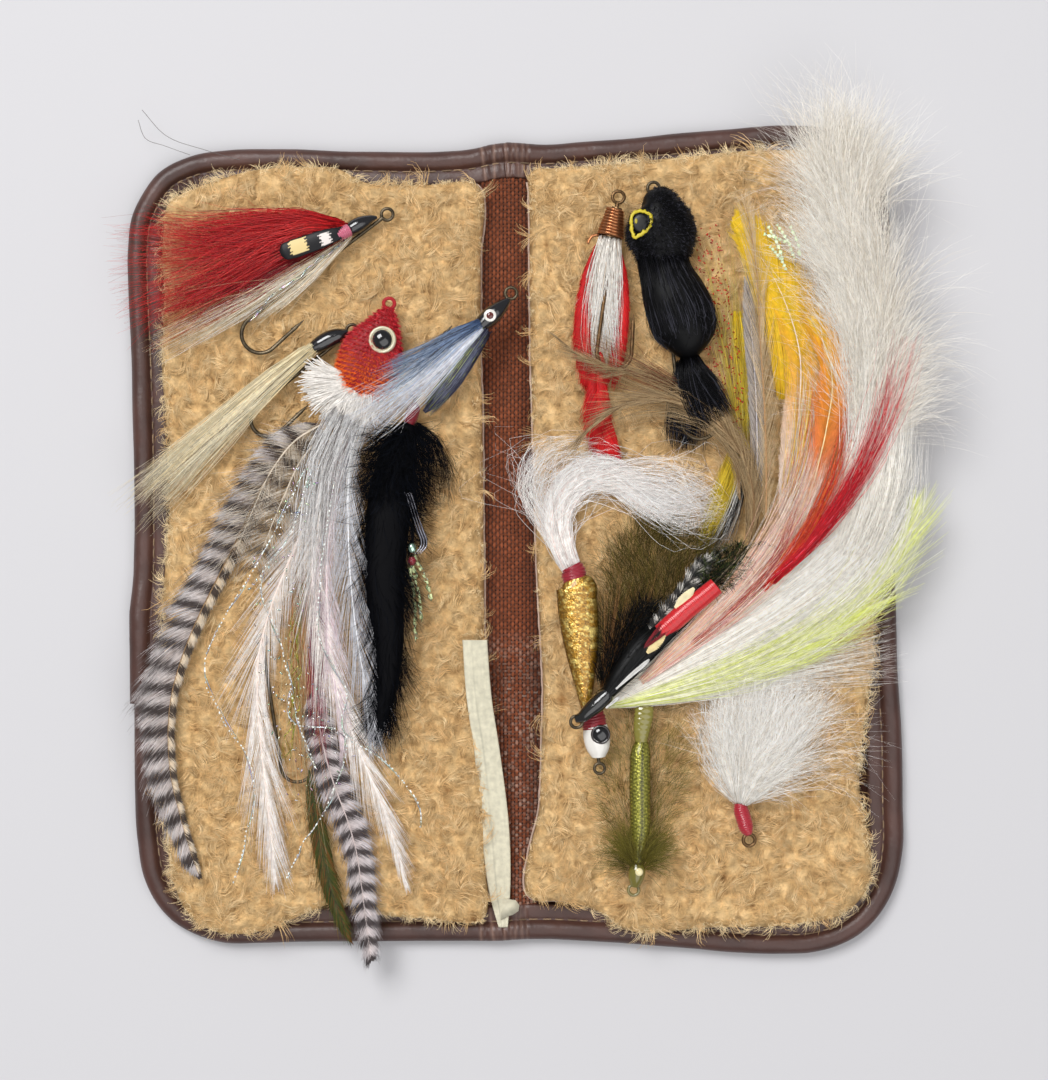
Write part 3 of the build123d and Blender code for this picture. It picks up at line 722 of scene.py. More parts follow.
def woven(name, side):
    """Warp cords along the spine on one side of the fold, with the weft between them."""
    soup = Soup()
    edge = CANVAS_SPAN[0] if side < 0 else CANVAS_SPAN[1]
    columns = np.arange(0.5, abs(edge) / WARP) * WARP * side
    level = CANVAS_TOP + 0.12
    for n, x in enumerate(columns):
        low, high = canvas_y(x, -1), canvas_y(x, 1)
        y = np.arange(low, high, WEFT / 3)
        height = level + 0.2 * np.sin(PI * y / WEFT + PI * (n % 2))
        wander = x + 0.08 * ripple(y, x, 3, 41)
        path = np.stack([wander, y, height], -1)
        size = 0.37 + 0.05 * ripple(y, x, 0.9, 42)
        # Painted light and shade: a cord is lighter where it rises over the weft, darker where it dips
        # under it
        tone = canvas_tone(wander, y, 43) * np.clip(0.75 + 1.3 * (height - level), 0.4, 1.4)[:, None]
        tubes(soup, path[None], size[None], tone[None], 6, 0.75)
    low, high = canvas_y(0, -1), canvas_y(0, 1)
    for n, y in enumerate(np.arange(math.ceil(low / WEFT), high / WEFT) * WEFT + WEFT / 2):
        x = np.linspace(0, edge, max(int(abs(edge) / WARP * 2), 4))
        height = level - 0.16 * np.sin(PI * (x / WARP + n)) - 0.04
        path = np.stack([x, y + 0.05 * ripple(x, y, 2, 44), height], -1)
        # Painted shade: the weft, lying lower between the cords, is darker
        tone = canvas_tone(x, y + 0 * x, 45) * 0.62
        tubes(soup, path[None], np.full((1, len(x)), 0.26), tone[None], 5, 0.8)
    piece = soup.make(name, COTTON)
    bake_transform(piece)


woven("canvas_weave.left", -1)
woven("canvas_weave.right", 1)

# Tape strip
TAPE = [
    (474.5, 640, 10.6, 24), (479, 699, 8.6, 24.5), (486.5, 749, 7.4, 25), (496, 843, 5.4, 27),
    (500, 898, 4.2, 19), (503, 927, 3.9, 9),
]
TAPE_STEPS = 160


def tape_strip():
    """A strip folded over lengthwise into two plies, creased down its middle."""
    x, y, z = spot(*np.array(TAPE).T[:3])
    run = spline(np.stack([x, y, z, np.array(TAPE)[:, 3] * PX], -1), TAPE_STEPS)
    across = np.linspace(-0.5, 0.5, 17)
    fold = np.abs(across) * 0.9
    ply = []
    for level, shift in ((0.62, 0.0), (0.36, 0.12), (0.26, 0.06), (0.0, 0.0)):
        wide = run[:, 3][:, None] * across[None] + shift
        crinkle = 0.06 * ripple(run[:, 1][:, None], wide * 2, 0.9, 51)
        sag = -0.35 * fold[None] + crinkle
        rows = [run[:, 0][:, None] + wide, run[:, 1][:, None] + 0 * wide, run[:, 2][:, None] + level + sag]
        ply.append(np.stack(rows, -1))
    soup = Soup()
    tone = linear((214, 208, 184))
    shade = 1 + 0.07 * ripple(run[:, 1][:, None], across[None] * 30, 2.4, 52)
    # Painted shade: a dark line along the crease of the fold
    crease = np.exp(-((across[None] + 0.12) / 0.035) ** 2)
    shade = shade - 0.3 * crease * (0.6 + 0.4 * ripple(run[:, 1], 0, 12, 53)[:, None])
    for top, under in ((ply[0], ply[1]), (ply[2], ply[3])):
        ring = np.concatenate([top, under[:, ::-1]], 1)
        count = ring.shape[1]
        cap = np.arange(count)[None]
        colour = tone * np.concatenate([shade, shade[:, ::-1]], 1)[..., None]
        caps = [cap, cap[:, ::-1] + (TAPE_STEPS - 1) * count]
        soup.add(ring, [grid_faces(TAPE_STEPS, count)[:, ::-1], *caps], colour.reshape(-1, 3))
    torn = [(499, 897), (507, 899), (515, 900), (519, 905), (518, 911), (512, 915), (507, 916), (501, 920)]
    rim = np.array([spot(a, b, 4.5 + 0.05 * (a - 500)) for a, b in torn])
    count = len(torn)
    ring = np.stack([rim, rim + [0.1, 0, 0.16]])
    cap = np.arange(count)[None]
    caps = [cap, cap[:, ::-1] + count]
    soup.add(ring, [grid_faces(2, count)[:, ::-1], *caps], np.broadcast_to(tone, (2 * count, 3)))
    piece = soup.make("tape.strip", PAPER)
    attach(piece, "spine")
    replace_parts(piece, "tape_strip")


tape_strip()


# Sheepskin pads
# Each pad's woolly edge in the photo, clockwise
LEFT_PAD = [
    (168, 199), (184, 190), (205, 182), (247, 169), (305, 165), (335, 166), (364, 180), (423, 183),
    (476, 182), (480, 260), (480, 340), (482, 430), (483, 520), (484, 640), (486, 760), (485, 860),
    (482, 922), (430, 921), (387, 918), (339, 905), (291, 921), (246, 936), (205, 931), (183, 912),
    (173, 890), (164, 830), (161, 760), (164, 700), (161, 600), (167, 512), (169, 461), (160, 373),
    (162, 290), (161, 232),
]
RIGHT_PAD = [
    (529, 190), (528.5, 174), (534, 167.5), (550, 166), (600, 163), (680, 155), (770, 148), (830, 152),
    (864, 172), (873, 210), (878, 300), (880, 450), (876, 600), (873, 678), (864, 740), (861, 783),
    (868, 830), (874, 868), (866, 896), (847, 915), (799, 926), (703, 930), (630, 933), (592, 911),
    (560, 903), (536, 903), (540, 800), (543, 690), (537, 570), (535, 480), (532, 400), (530, 300),
]
WOOL_Z = 8.0
SPINE_Y = 62
CURL_SIZE = 3.4
LOCKS_EACH, FRINGE_EACH, LOCK_FIBRES, FIBRE_STEPS = 2750, 1050, 9, 6
FIBRES_A_PIECE = 5900
# Painted light and shade for the wool: the shaded tone of its depths, a mid tone, the lit tone of its
# crests
WOOL_SHADED, WOOL_MID, WOOL_LIT = linear((148, 106, 62)), linear((222, 182, 126)), linear((248, 224, 178))


def wool_tone(height, jitter):
    """Wool colour with painted shade and light: shaded in the depths, 0, lit on the crests, 1."""
    height = np.clip(height, 0, 1)[..., None]
    low = WOOL_SHADED + (WOOL_MID - WOOL_SHADED) * np.clip(height * 2, 0, 1)
    return (low + (WOOL_LIT - WOOL_MID) * np.clip(height * 2 - 1, 0, 1)) * jitter


def wool_level(x, y):
    """Height of the pile's crests."""
    return WOOL_Z + 0.45 * ripple(x, y, 11, 61) + 0.9 * lumps(x, y, CURL_SIZE, 62) - 0.3


def wool_locks(word, outline, inner):
    """Curled locks of parallel fibres, then a ragged fringe: their paths, radii and tones."""
    steps = len(outline)
    count = LOCKS_EACH
    gx = rng.uniform(outline[:, 0].min(), outline[:, 0].max(), count * 2)
    gy = rng.uniform(outline[:, 1].min(), outline[:, 1].max(), count * 2)
    keep = inside(gx, gy, outline + inner * 1.2)
    roots = np.stack([gx[keep], gy[keep]], -1)[:count]
    edge = rng.integers(0, steps, FRINGE_EACH)
    fringe = outline[edge] + inner[edge] * rng.uniform(0.4, 3.0, FRINGE_EACH)[:, None]
    rim = np.concatenate([np.zeros(len(roots), bool), np.ones(FRINGE_EACH, bool)])
    start = np.concatenate([roots, fringe])
    locks = len(start)
    swirl = PI * 2.2 * ripple(start[:, 0], start[:, 1], 9, 65)
    swirl = swirl + PI * 0.8 * ripple(start[:, 0], start[:, 1], 3.1, 66)
    swirl[rim] = np.arctan2(-inner[edge, 1], -inner[edge, 0]) + rng.normal(0, 0.7, FRINGE_EACH)
    turn = swirl + rng.normal(0, 0.4, locks)
    cut = np.zeros(locks, bool)
    cut[rim] = inner[edge, 0] * (-1 if word == "left" else 1) > 0.8
    curl = rng.choice([-1, 1], locks) * rng.uniform(0.1, 0.65, locks)
    length = np.where(rim, rng.uniform(1.4, 4.2, locks), rng.uniform(3.2, 7.0, locks))
    crest = rng.uniform(0.3, 1.05, locks)
    value = rng.uniform(0.82, 1.1, locks)

    length = length * np.where(cut, 0.4, 1)
    total = locks * LOCK_FIBRES
    own = lambda table: np.repeat(table, LOCK_FIBRES, axis=0)
    rim, crest, length = own(rim), own(crest), own(length) * rng.uniform(0.7, 1.15, total)
    turn = own(turn) + rng.normal(0, 1, total) * np.where(rim, 0.4, 0.13)
    curl = own(curl) * rng.uniform(0.8, 1.2, total)
    shift = np.clip(rng.normal(0, 0.42, total), -1, 1)
    aside = np.stack([-np.sin(turn), np.cos(turn)], -1)
    path = [own(start) + aside * shift[:, None] + rng.normal(0, 0.12, (total, 2))]
    for m in range(FIBRE_STEPS - 1):
        heading = turn + curl * m + rng.normal(0, 0.08, total)
        step = np.stack([np.cos(heading), np.sin(heading)], -1) * (length / (FIBRE_STEPS - 1))[:, None]
        path.append(path[-1] + step)
    path = np.stack(path, 1)
    along = np.linspace(0, 1, FIBRE_STEPS)
    arch = np.sin(along * PI)[None] * (crest * (1 - 0.5 * shift**2) + rng.normal(0, 0.1, total))[:, None]
    near = np.full(total, 9.0)
    for n in range(0, steps, 4):
        near = np.minimum(near, np.linalg.norm(path[:, 2] - outline[n], axis=1))
    drop = 2.6 * np.clip(1 - near / 4.0, 0, 1) ** 1.4
    level = wool_level(path[..., 0], path[..., 1]) - 0.42 + arch - drop[:, None]
    low = rng.uniform(3.4, 7.4, total)[:, None] + arch * 0.5
    low = low - along[None] ** 2 * rng.uniform(0, 1.0, total)[:, None]
    level = np.where(rim[:, None], low, level)
    bumps = lumps(path[..., 0], path[..., 1], CURL_SIZE, 62)
    light = 0.12 + 0.3 * bumps + 0.42 * arch + 0.4 * rim[:, None]
    tone = wool_tone(light, (own(value) * rng.uniform(0.9, 1.1, total))[:, None, None])
    taper = np.interp(along, [0, 0.2, 0.6, 1], [0.7, 1, 0.9, 0.4])
    radii = rng.uniform(0.044, 0.075, (total, 1)) * np.where(rim, 0.8, 1)[:, None] * taper[None]
    paths = np.concatenate([path, level[..., None]], -1)
    return paths, radii, tone


def skin_edge(word, body, outline, centre):
    """The skin's cut edge along the spine."""
    sign = -1 if word == "left" else 1
    off = outline[:, 0] - centre
    front = outline[off * -sign > 0.8 * np.abs(off).max() * 0.9]
    front = front[np.argsort(front[:, 1])]
    front = front[(front[:, 1] > canvas_y(0, -1) + 1) & (front[:, 1] < canvas_y(0, 1) - 1)]
    wander = front[:, 0] - sign * 0.15 + 0.12 * ripple(front[:, 1], 0, 2.2, 71)
    path = np.stack([wander, front[:, 1], np.full(len(front), CANVAS_TOP + 0.75)], -1)
    soup = Soup()
    tone = linear((206, 178, 160)) * (0.9 + 0.12 * ripple(front[:, 1], 0, 1.5, 72))[:, None]
    tubes(soup, path[None], np.full((1, len(front)), 0.27), tone[None], 6, 1.3)
    settle(soup.make(f"skin_edge.{word}", SOFT_HAIR), body, "fleece")


def fleece(word, pad, body, node):
    """A sheepskin pad: its ground, the wool standing on it and the skin's edge."""
    steps, rings = 620, 52
    x, y, _ = spot(*np.array(pad).T, WOOL_Z)
    outline = spline(np.stack([x, y, 0 * x], -1), steps, closed=True)[:, :2]
    middle = np.stack([np.full(steps, x.mean()), np.clip(outline[:, 1], -SPINE_Y, SPINE_Y)], -1)
    width = np.linalg.norm(middle - outline, axis=1)

    share = np.linspace(0, 0.985, rings)[:, None]
    place = outline[None] + (middle - outline)[None] * share[..., None]
    deep = share * width[None]
    dome = np.sqrt(np.clip(1 - (1 - np.clip(deep / 4.5, 0, 1)) ** 2, 0, 1))
    bumps = lumps(place[..., 0], place[..., 1], CURL_SIZE, 62)
    level = 4.4 + (wool_level(place[..., 0], place[..., 1]) - 4.9) * dome
    level = level + 0.3 * ripple(place[..., 0], place[..., 1], 0.9, 63) * dome
    top = np.concatenate([place, level[..., None]], -1)
    inner = unit(middle - outline)
    rims = ((1.4, 2.15), (0.9, 3.2))
    skirt = [np.concatenate([outline + inner * d, np.full((steps, 1), h)], -1) for d, h in rims]
    points = np.concatenate([np.array(skirt), top])
    cloud = 0.9 + 0.1 * ripple(place[..., 0], place[..., 1], 5, 64)[..., None]
    # Painted light and shade: the crowns of the lumps lighter, the hollows darker
    tone = wool_tone(0.05 + 0.55 * bumps, cloud)
    # The pad's edge wall, under its rim, is painted in the shaded tone
    tone = np.concatenate([np.broadcast_to(WOOL_SHADED, (2, steps, 3)), tone])
    soup = Soup()
    count = len(points)
    lids = [np.arange(steps)[None], np.arange(steps)[::-1][None] + (count - 1) * steps]
    soup.add(points, [grid_faces(count, steps)[:, ::-1], *lids], tone.reshape(-1, 3))
    base = settle(soup.make(f"fleece.{word}", PILE), body, "fleece", node)

    paths, radii, tone = wool_locks(word, outline, inner)
    total = len(paths)
    for n, part in enumerate(np.array_split(np.arange(total), math.ceil(total / FIBRES_A_PIECE))):
        soup = Soup()
        tubes(soup, paths[part], radii[part], tone[part])
        settle(soup.make(f"fleece_fibres.{word}_{n}", WOOL), body, "fleece")
    skin_edge(word, body, outline, x.mean())


fleece("left", LEFT_PAD, "left_panel", "fleece_left")
fleece("right", RIGHT_PAD, "right_panel", "fleece_right")


# Hair, fur and feathers
LOWEST_FIBRE = 8.6
QUILL_STEPS = 160
RIBBON_STEPS = 56


def lie(stations, count=70):
    """Rows of x, y, z, width and height, with the ways ahead and aside, through photo stations.

    A station is (px, py, z, width in pixels, height)."""
    rows = np.array(stations, float)
    x, y, z = spot(*rows.T[:3])
    wide = rows[:, 3] * PX * (1 - z / EYE_HEIGHT)
    run = spline(np.stack([x, y, z, wide, rows[:, 4]], -1), count)
    way = unit(np.gradient(run[:, :3], axis=0))
    side = unit(np.stack([way[:, 1], -way[:, 0], 0 * way[:, 0]], -1))
    return run, way, side


def along_lie(run, way, side, s, a, b):
    """Points at a share s along, a across and b up, from -1 to 1; s may pass the end."""
    last = len(run) - 1
    at = np.clip(s, 0, 1) * last
    index = np.arange(len(run))
    pick = lambda table, column: np.interp(at, index, table[:, column])
    place = np.stack([pick(run, c) for c in range(3)], -1)
    across = np.stack([pick(side, c) for c in range(3)], -1)
    wide, high = pick(run, 3), pick(run, 4)
    length = np.linalg.norm(np.diff(run[:, :3], axis=0), axis=1).sum()
    beyond = np.maximum(s - 1, 0)[..., None] * length * way[-1]
    upward = np.array([0, 0, 1]) * (b * high / 2)[..., None]
    return place + beyond + across * (a * wide / 2)[..., None] + upward


def paint(palette, count):
    """Root and tip tones picked by weight from (weight, root, tip) rows."""
    weight = np.array([p[0] for p in palette], float)
    pick = rng.choice(len(palette), count, p=weight / weight.sum())
    root = np.array([linear(p[1]) for p in palette])[pick]
    tip = np.array([linear(p[2]) for p in palette])[pick]
    return root, tip


def hair(soup, stations, count, palette, thick=0.075, steps=9, start=(0, 0.06), end=(0.7, 1.03), clumps=30,
         cling=0.55, wave=0.5, stray=0.06, shell=False, crimp=0.0):
    """A lock of hairs that follow the stations, gathered in clumps and a little wavy."""
    run, way, side = lie(stations)
    u = np.linspace(0, 1, steps)
    s0, s1 = rng.uniform(*start, count), rng.uniform(*end, count)
    s = s0[:, None] + (s1 - s0)[:, None] * u[None]
    group = rng.integers(0, clumps, count)
    lead_a, lead_b = rng.uniform(-0.96, 0.96, clumps), rng.uniform(-0.8, 0.8, clumps)
    angle, radius = rng.uniform(0, 2 * PI, count), np.sqrt(rng.uniform(0.85 if shell else 0, 1, count))
    own_a, own_b = radius * np.cos(angle), radius * np.sin(angle)
    if shell:
        own_b = np.abs(own_b)
    pull = cling * u[None] * (0 if shell else 1)
    a = own_a[:, None] * (1 - pull) + lead_a[group][:, None] * pull
    b = own_b[:, None] * (1 - pull) + lead_b[group][:, None] * pull
    wild = 1 + 3 * (rng.uniform(size=count) < stray)
    grow = (wave * u**1.4)[None] * wild[:, None]
    phase, pace = rng.uniform(0, 2 * PI, (2, clumps)), rng.uniform(2.2, 5.0, (2, clumps))
    drift = 0.6 * np.sin(pace[0][group][:, None] * u + phase[0][group][:, None])
    drift = drift + rng.normal(0, 0.5, count)[:, None] + 0.3 * np.sin(9 * u[None] + own_a[:, None] * 9)
    drift = drift + crimp * np.sin(12 * u[None] + group[:, None] * 2.4) * (1 + 0.5 * own_b[:, None])
    lift = 0.5 * np.sin(pace[1][group][:, None] * u + phase[1][group][:, None])
    lift = lift + rng.normal(0, 0.35, count)[:, None]
    place = along_lie(run, way, side, s, a, b)
    across = unit(place[:, -1] - place[:, 0])
    across = np.stack([across[:, 1], -across[:, 0], 0 * across[:, 0]], -1)
    place = place + across[:, None] * (grow * drift)[..., None]
    place = place + np.array([0, 0, 0.5]) * (grow * lift)[..., None]
    place[..., 2] = np.maximum(place[..., 2], LOWEST_FIBRE)
    root, tip = paint(palette, count)
    tone = root[:, None] + (tip - root)[:, None] * (u**0.8)[None, :, None]
    # Painted shade: hairs low in the lock are darker than those on top
    tone = tone * rng.uniform(0.72, 1.18, (count, 1, 1)) * (0.82 + 0.18 * np.clip(b + 0.6, 0, 1))[..., None]
    radii = rng.uniform(0.7, 1.2, (count, 1)) * thick * (1 - 0.75 * u**2.2)[None]
    tubes(soup, place, radii, tone)


def fur(soup, stations, count, length, palette, thick=0.05, splay=0.5, steps=6, rise=0.25, curl=0.5,
        core=(0, 1), flow=0.0, spread=0.75):
    """Short fibres rooted all along a strip, leaning down it and out to its sides."""
    run, way, side = lie(stations)
    u = np.linspace(0, 1, steps)
    s = rng.uniform(*core, count)
    a, b = rng.uniform(-1, 1, count) * spread, rng.uniform(-0.9, 0.9, count)
    root_at = along_lie(run, way, side, s, a, b)
    index = np.arange(len(run))
    pick = lambda table: np.stack([np.interp(s * (len(run) - 1), index, table[:, c]) for c in range(3)], -1)
    down, out = pick(way), pick(side)
    reach = rng.uniform(0.55, 1.1, count) * length
    turn = splay * (a / spread * 0.7 + rng.normal(0, 0.35, count))
    bow = curl * rng.normal(0, 0.5, count)
    if flow:
        turn = turn + flow * ripple(root_at[:, 0], root_at[:, 1], 6.5, 95)
        bow = bow + flow * 1.6 * ripple(root_at[:, 0], root_at[:, 1], 9, 96)
    theta = turn[:, None] + bow[:, None] * u[None]
    step = np.cos(theta)[..., None] * down[:, None] + np.sin(theta)[..., None] * out[:, None]
    climb = rise * rng.uniform(-0.6, 1.1, count)[:, None] * (1 - 1.3 * u[None])
    step = step + np.array([0, 0, 1]) * climb[..., None]
    place = root_at[:, None] + np.cumsum(step, 1) * (reach / steps)[:, None, None]
    place[..., 2] = np.maximum(place[..., 2], LOWEST_FIBRE)
    root, tip = paint(palette, count)
    tone = root[:, None] + (tip - root)[:, None] * u[None, :, None]
    tone = tone * rng.uniform(0.75, 1.15, (count, 1, 1))
    radii = rng.uniform(0.7, 1.2, (count, 1)) * thick * (1 - 0.7 * u**2)[None]
    tubes(soup, place, radii, tone)


def feather(soup, stations, palette, bars=None, spacing=0.13, thick=0.06, angle=(44, 22), stem=None,
            split=0.12, fluff=0.0, droop=0.4, start=0.0, bend=0.35, vane=0.3, ragged=(0.8, 1.12),
            fade=None, other=None):
    """A feather: stations (px, py, z, left width, right width); bars (pitch, dark tone, share).

    vane is the width of the flat barbs that close it, 0 for an open one; fade lists (share along, tone);
    other is the palette of the second vane where the two differ."""
    rows = np.array(stations, float)
    x, y, z = spot(*rows.T[:3])
    run = spline(np.stack([x, y, z, rows[:, 3] * PX, rows[:, 4] * PX], -1), QUILL_STEPS)
    way = unit(np.gradient(run[:, :3], axis=0))
    length = np.linalg.norm(np.diff(run[:, :3], axis=0), axis=1).sum()
    u = np.linspace(0, 1, 7)
    index = np.arange(QUILL_STEPS)
    layers = [(spacing, thick, 0.8, ragged, 0.12)]
    if vane:
        layers.append((vane * 0.8, vane, 0.14, (0.8, 0.94), 0.0))
    for gap, radius, flat, lengths, lift in layers:
        count = int(length * (1 - start) / gap)
        for hand in (-1, 1):
            place_in_row = np.arange(count) + rng.uniform(-0.4, 0.4, count)
            s = np.clip(start + (1 - start) * place_in_row / count, 0, 1)
            get = lambda table, c: np.interp(s * index[-1], index, table[:, c])
            root_at = np.stack([get(run, c) for c in range(3)], -1)
            down = np.stack([get(way, c) for c in range(3)], -1)
            out = unit(np.stack([down[:, 1], -down[:, 0], 0 * s], -1)) * hand
            wide = get(run, 3 if hand < 0 else 4) * rng.uniform(*lengths, count)
            lean = np.radians(angle[0] + (angle[1] - angle[0]) * s)
            lean = lean + split * ripple(s * length, hand * 7, 5.5, 81)
            lean = lean + rng.normal(0, 0.03 + fluff * 0.3, count)
            reach = wide / np.maximum(np.sin(lean), 0.3)
            theta = lean[:, None] * (1 - bend * u[None] ** 1.3)
            theta = theta + fluff * rng.normal(0, 0.6, count)[:, None] * u[None]
            step = np.cos(theta)[..., None] * down[:, None] + np.sin(theta)[..., None] * out[:, None]
            place = root_at[:, None] + (np.cumsum(step, 1) - step[:, :1]) * (reach / 6)[:, None, None]
            arch = lift + 0.35 * np.sin(u * PI)[None] - droop * (u**2)[None]
            place[..., 2] += arch + rng.normal(0, 0.04, (count, 1))
            place[..., 2] += 0.25 * ripple(s * length, hand * 3, 4, 82)[:, None] * u[None]
            root, tip = paint(other if other and hand > 0 else palette, count)
            if fade:
                stops = np.array([f[0] for f in fade])
                shades = np.array([linear(f[1]) for f in fade])
                tip = np.stack([np.interp(s, stops, shades[:, c]) for c in range(3)], -1)
                root = tip * 0.92
            tone = root[:, None] + (tip - root)[:, None] * u[None, :, None]
            if bars:
                pitch, dark, share = bars
                travel = (s * length)[:, None] + reach[:, None] * np.cumsum(np.cos(theta), 1) / 7 * 0.88
                drift = 0.2 * ripple(s * length, hand * 5, 9, 83)[:, None]
                drift = drift + 0.16 * rng.normal(0, 0.5, (count, 1))
                wave = np.sin(2 * PI * (travel / pitch + drift))
                mask = np.clip((wave + share) * 1.7 + 0.5, 0, 1) * np.clip(1.2 - 0.4 * u[None], 0, 0.94)
                tone = tone + (linear(dark) - tone) * mask[..., None]
            tone = tone * rng.uniform(0.9, 1.08, (count, 1, 1))
            radii = radius * (1 - 0.7 * u**1.6)[None] * rng.uniform(0.85, 1.15, (count, 1))
            tubes(soup, place, radii, tone, 3, flat, every_step=bool(bars))
    quill = run[:, :3] + np.array([0, 0, 0.14])
    size = np.linspace(0.24, 0.05, QUILL_STEPS)
    tone = np.broadcast_to(linear(stem or palette[0][1]), (1, QUILL_STEPS, 3))
    tubes(soup, quill[None], size[None], tone, 6)


def flash(soup, lines, tone, width=0.22, wiggle=0.5, repeat=1, flat=0.12, sparkle=0.5):
    """Twisted tinsel ribbons through photo points (px, py, z)."""
    for line in lines:
        for _ in range(repeat):
            rows = np.array(line, float)
            x, y, z = spot(*rows.T[:3])
            path = spline(np.stack([x, y, z], -1), RIBBON_STEPS)[:, :3]
            u = np.arange(RIBBON_STEPS)
            shake = rng.uniform(0, 2 * PI, 4)
            path[:, 0] += wiggle * (np.sin(u * 0.32 + shake[0]) + 0.4 * np.sin(u * 0.9 + shake[1]))
            path[:, 1] += wiggle * (np.sin(u * 0.28 + shake[2]) + 0.4 * np.sin(u * 0.8 + shake[3]))
            shade = linear(tone) * rng.uniform(0.7, 1.2, (RIBBON_STEPS, 1))
            shade = shade * (1 + sparkle * rng.uniform(-0.5, 0.5, (RIBBON_STEPS, 3)))
            shade, size = np.clip(shade, 0, 1)[None], np.full((1, RIBBON_STEPS), width)
            tubes(soup, path[None], size, shade, 4, flat, rng.uniform(0.25, 0.6))


def glints(soup, lines, tone, pitch=1.1, length=0.5, width=0.15):
    """Painted glints: short bright strands in a glowing finish, just over twisted tinsel strands through
    photo points (px, py, z).
    """
    for line in lines:
        x, y, z = spot(*np.array(line, float).T[:3])
        path = spline(np.stack([x, y, z + 0.2], -1), 400)[:, :3]
        at = np.concatenate([[0], np.cumsum(np.linalg.norm(np.diff(path, axis=0), axis=1))])
        starts = np.arange(0.3, at[-1] - length, pitch)
        starts = starts + rng.uniform(-0.3, 0.3, len(starts))
        shares = starts[:, None] + np.array([0, 0.5, 1]) * length * rng.uniform(0.5, 1.3, (len(starts), 1))
        points = np.stack([np.interp(shares, at, path[:, c]) for c in range(3)], -1)
        sway = [ripple(shares, len(line), 4, seed) for seed in (85, 86)]
        points[..., :2] += 0.35 * np.stack(sway, -1)
        shade = linear(tone) * rng.uniform(0.5, 1.1, (len(starts), 1, 1)) + np.zeros(points.shape)
        tubes(soup, points, np.full(shares.shape, width), shade, 4, 0.5)


def specks(soup, stations, count, tone, length=0.7, width=0.16):
    """Loose glints of tinsel scattered through a lock."""
    run, way, side = lie(stations)
    s, a, b = (rng.uniform(low, high, count) for low, high in ((0, 1), (-1, 1), (-0.2, 1.3)))
    middle = along_lie(run, way, side, s, a, b)
    aim = unit(rng.normal(0, 1, (count, 3)) * [1, 1, 0.35])
    half = rng.uniform(0.4, 1.1, (count, 1)) * length / 2
    path = np.stack([middle - aim * half, middle, middle + aim * half], 1)
    shade = linear(tone) * rng.uniform(0.6, 1.5, (count, 1, 1))
    shade = np.clip(shade * (1 + 0.3 * rng.uniform(-1, 1, (count, 1, 3))), 0, 1) + np.zeros((count, 3, 3))
    tubes(soup, path, np.full((count, 3), width), shade, 4, 0.3)


def body(soup, stations, tone, sides=32, rings=60, ribs=0.0, pitch=1.0, colour=None):
    """A solid round form through the stations; ribs stand up like thread wraps."""
    run, way, side = lie(stations, rings)
    up = np.cross(side, way)
    up = up * np.sign(up[:, 2:3])
    angle = np.arange(sides) * 2 * PI / sides
    length = np.linalg.norm(np.diff(run[:, :3], axis=0), axis=1)
    at = np.concatenate([[0], np.cumsum(length)])
    swell = 1 + ribs * np.sin(2 * PI * at / pitch)[:, None] + 0 * angle[None]
    a, b = np.cos(angle)[None] * swell, np.sin(angle)[None] * swell
    place = run[:, None, :3] + side[:, None] * (a * run[:, 3:4] / 2)[..., None]
    place = place + up[:, None] * (b * run[:, 4:5] / 2)[..., None]
    shade = np.broadcast_to(linear(tone), place.shape).copy()
    if colour:
        shade = colour(place, np.linspace(0, 1, rings)[:, None] + 0 * a, np.cos(angle)[None] + 0 * a, shade)
    cap = np.arange(sides)[None]
    caps = [cap[:, ::-1], cap + (rings - 1) * sides]
    soup.add(place, [grid_faces(rings, sides), *caps], shade.reshape(-1, 3))


def nap(soup, stations, count, length, palette, thick=0.07, lean=0.5, rows=0.0, steps=4, span=(0, 1),
        tone_at=None):
    """Short pile standing on a round form, such as chenille or clipped hair."""
    run, way, side = lie(stations)
    s, angle = rng.uniform(*span, count), rng.uniform(-0.15, PI + 0.15, count)
    if rows:
        whole = np.linalg.norm(np.diff(run[:, :3], axis=0), axis=1).sum()
        s = np.round(s * whole / rows) * rows / whole + rng.normal(0, 0.004, count)
    s = np.clip(s, 0, 1)
    foot = along_lie(run, way, side, s, np.cos(angle) * 0.93, np.sin(angle) * 0.93)
    middle = along_lie(run, way, side, s, 0 * s, 0 * s)
    index = np.arange(len(run))
    down = np.stack([np.interp(s * (len(run) - 1), index, way[:, c]) for c in range(3)], -1)
    up = unit(foot - middle + np.array([0, 0, 1e-4]))
    aim = unit(up + down * lean + rng.normal(0, 0.28, (count, 3)))
    u = np.linspace(0, 1, steps)
    reach = rng.uniform(0.5, 1.1, count) * length
    bow = rng.normal(0, 0.3, (count, 3)) + down * 0.35
    place = foot[:, None] + aim[:, None] * (reach[:, None] * u[None])[..., None]
    place = place + bow[:, None] * (reach[:, None] * u[None] ** 2 * 0.4)[..., None]
    root, tip = paint(palette, count)
    tone = root[:, None] + (tip - root)[:, None] * u[None, :, None]
    if tone_at:
        tone = tone_at(place, s, tone)
    tone = tone * rng.uniform(0.75, 1.2, (count, 1, 1))
    tubes(soup, place, rng.uniform(0.7, 1.2, (count, 1)) * thick * (1 - 0.6 * u)[None], tone)


BLACK = (20, 19, 22)


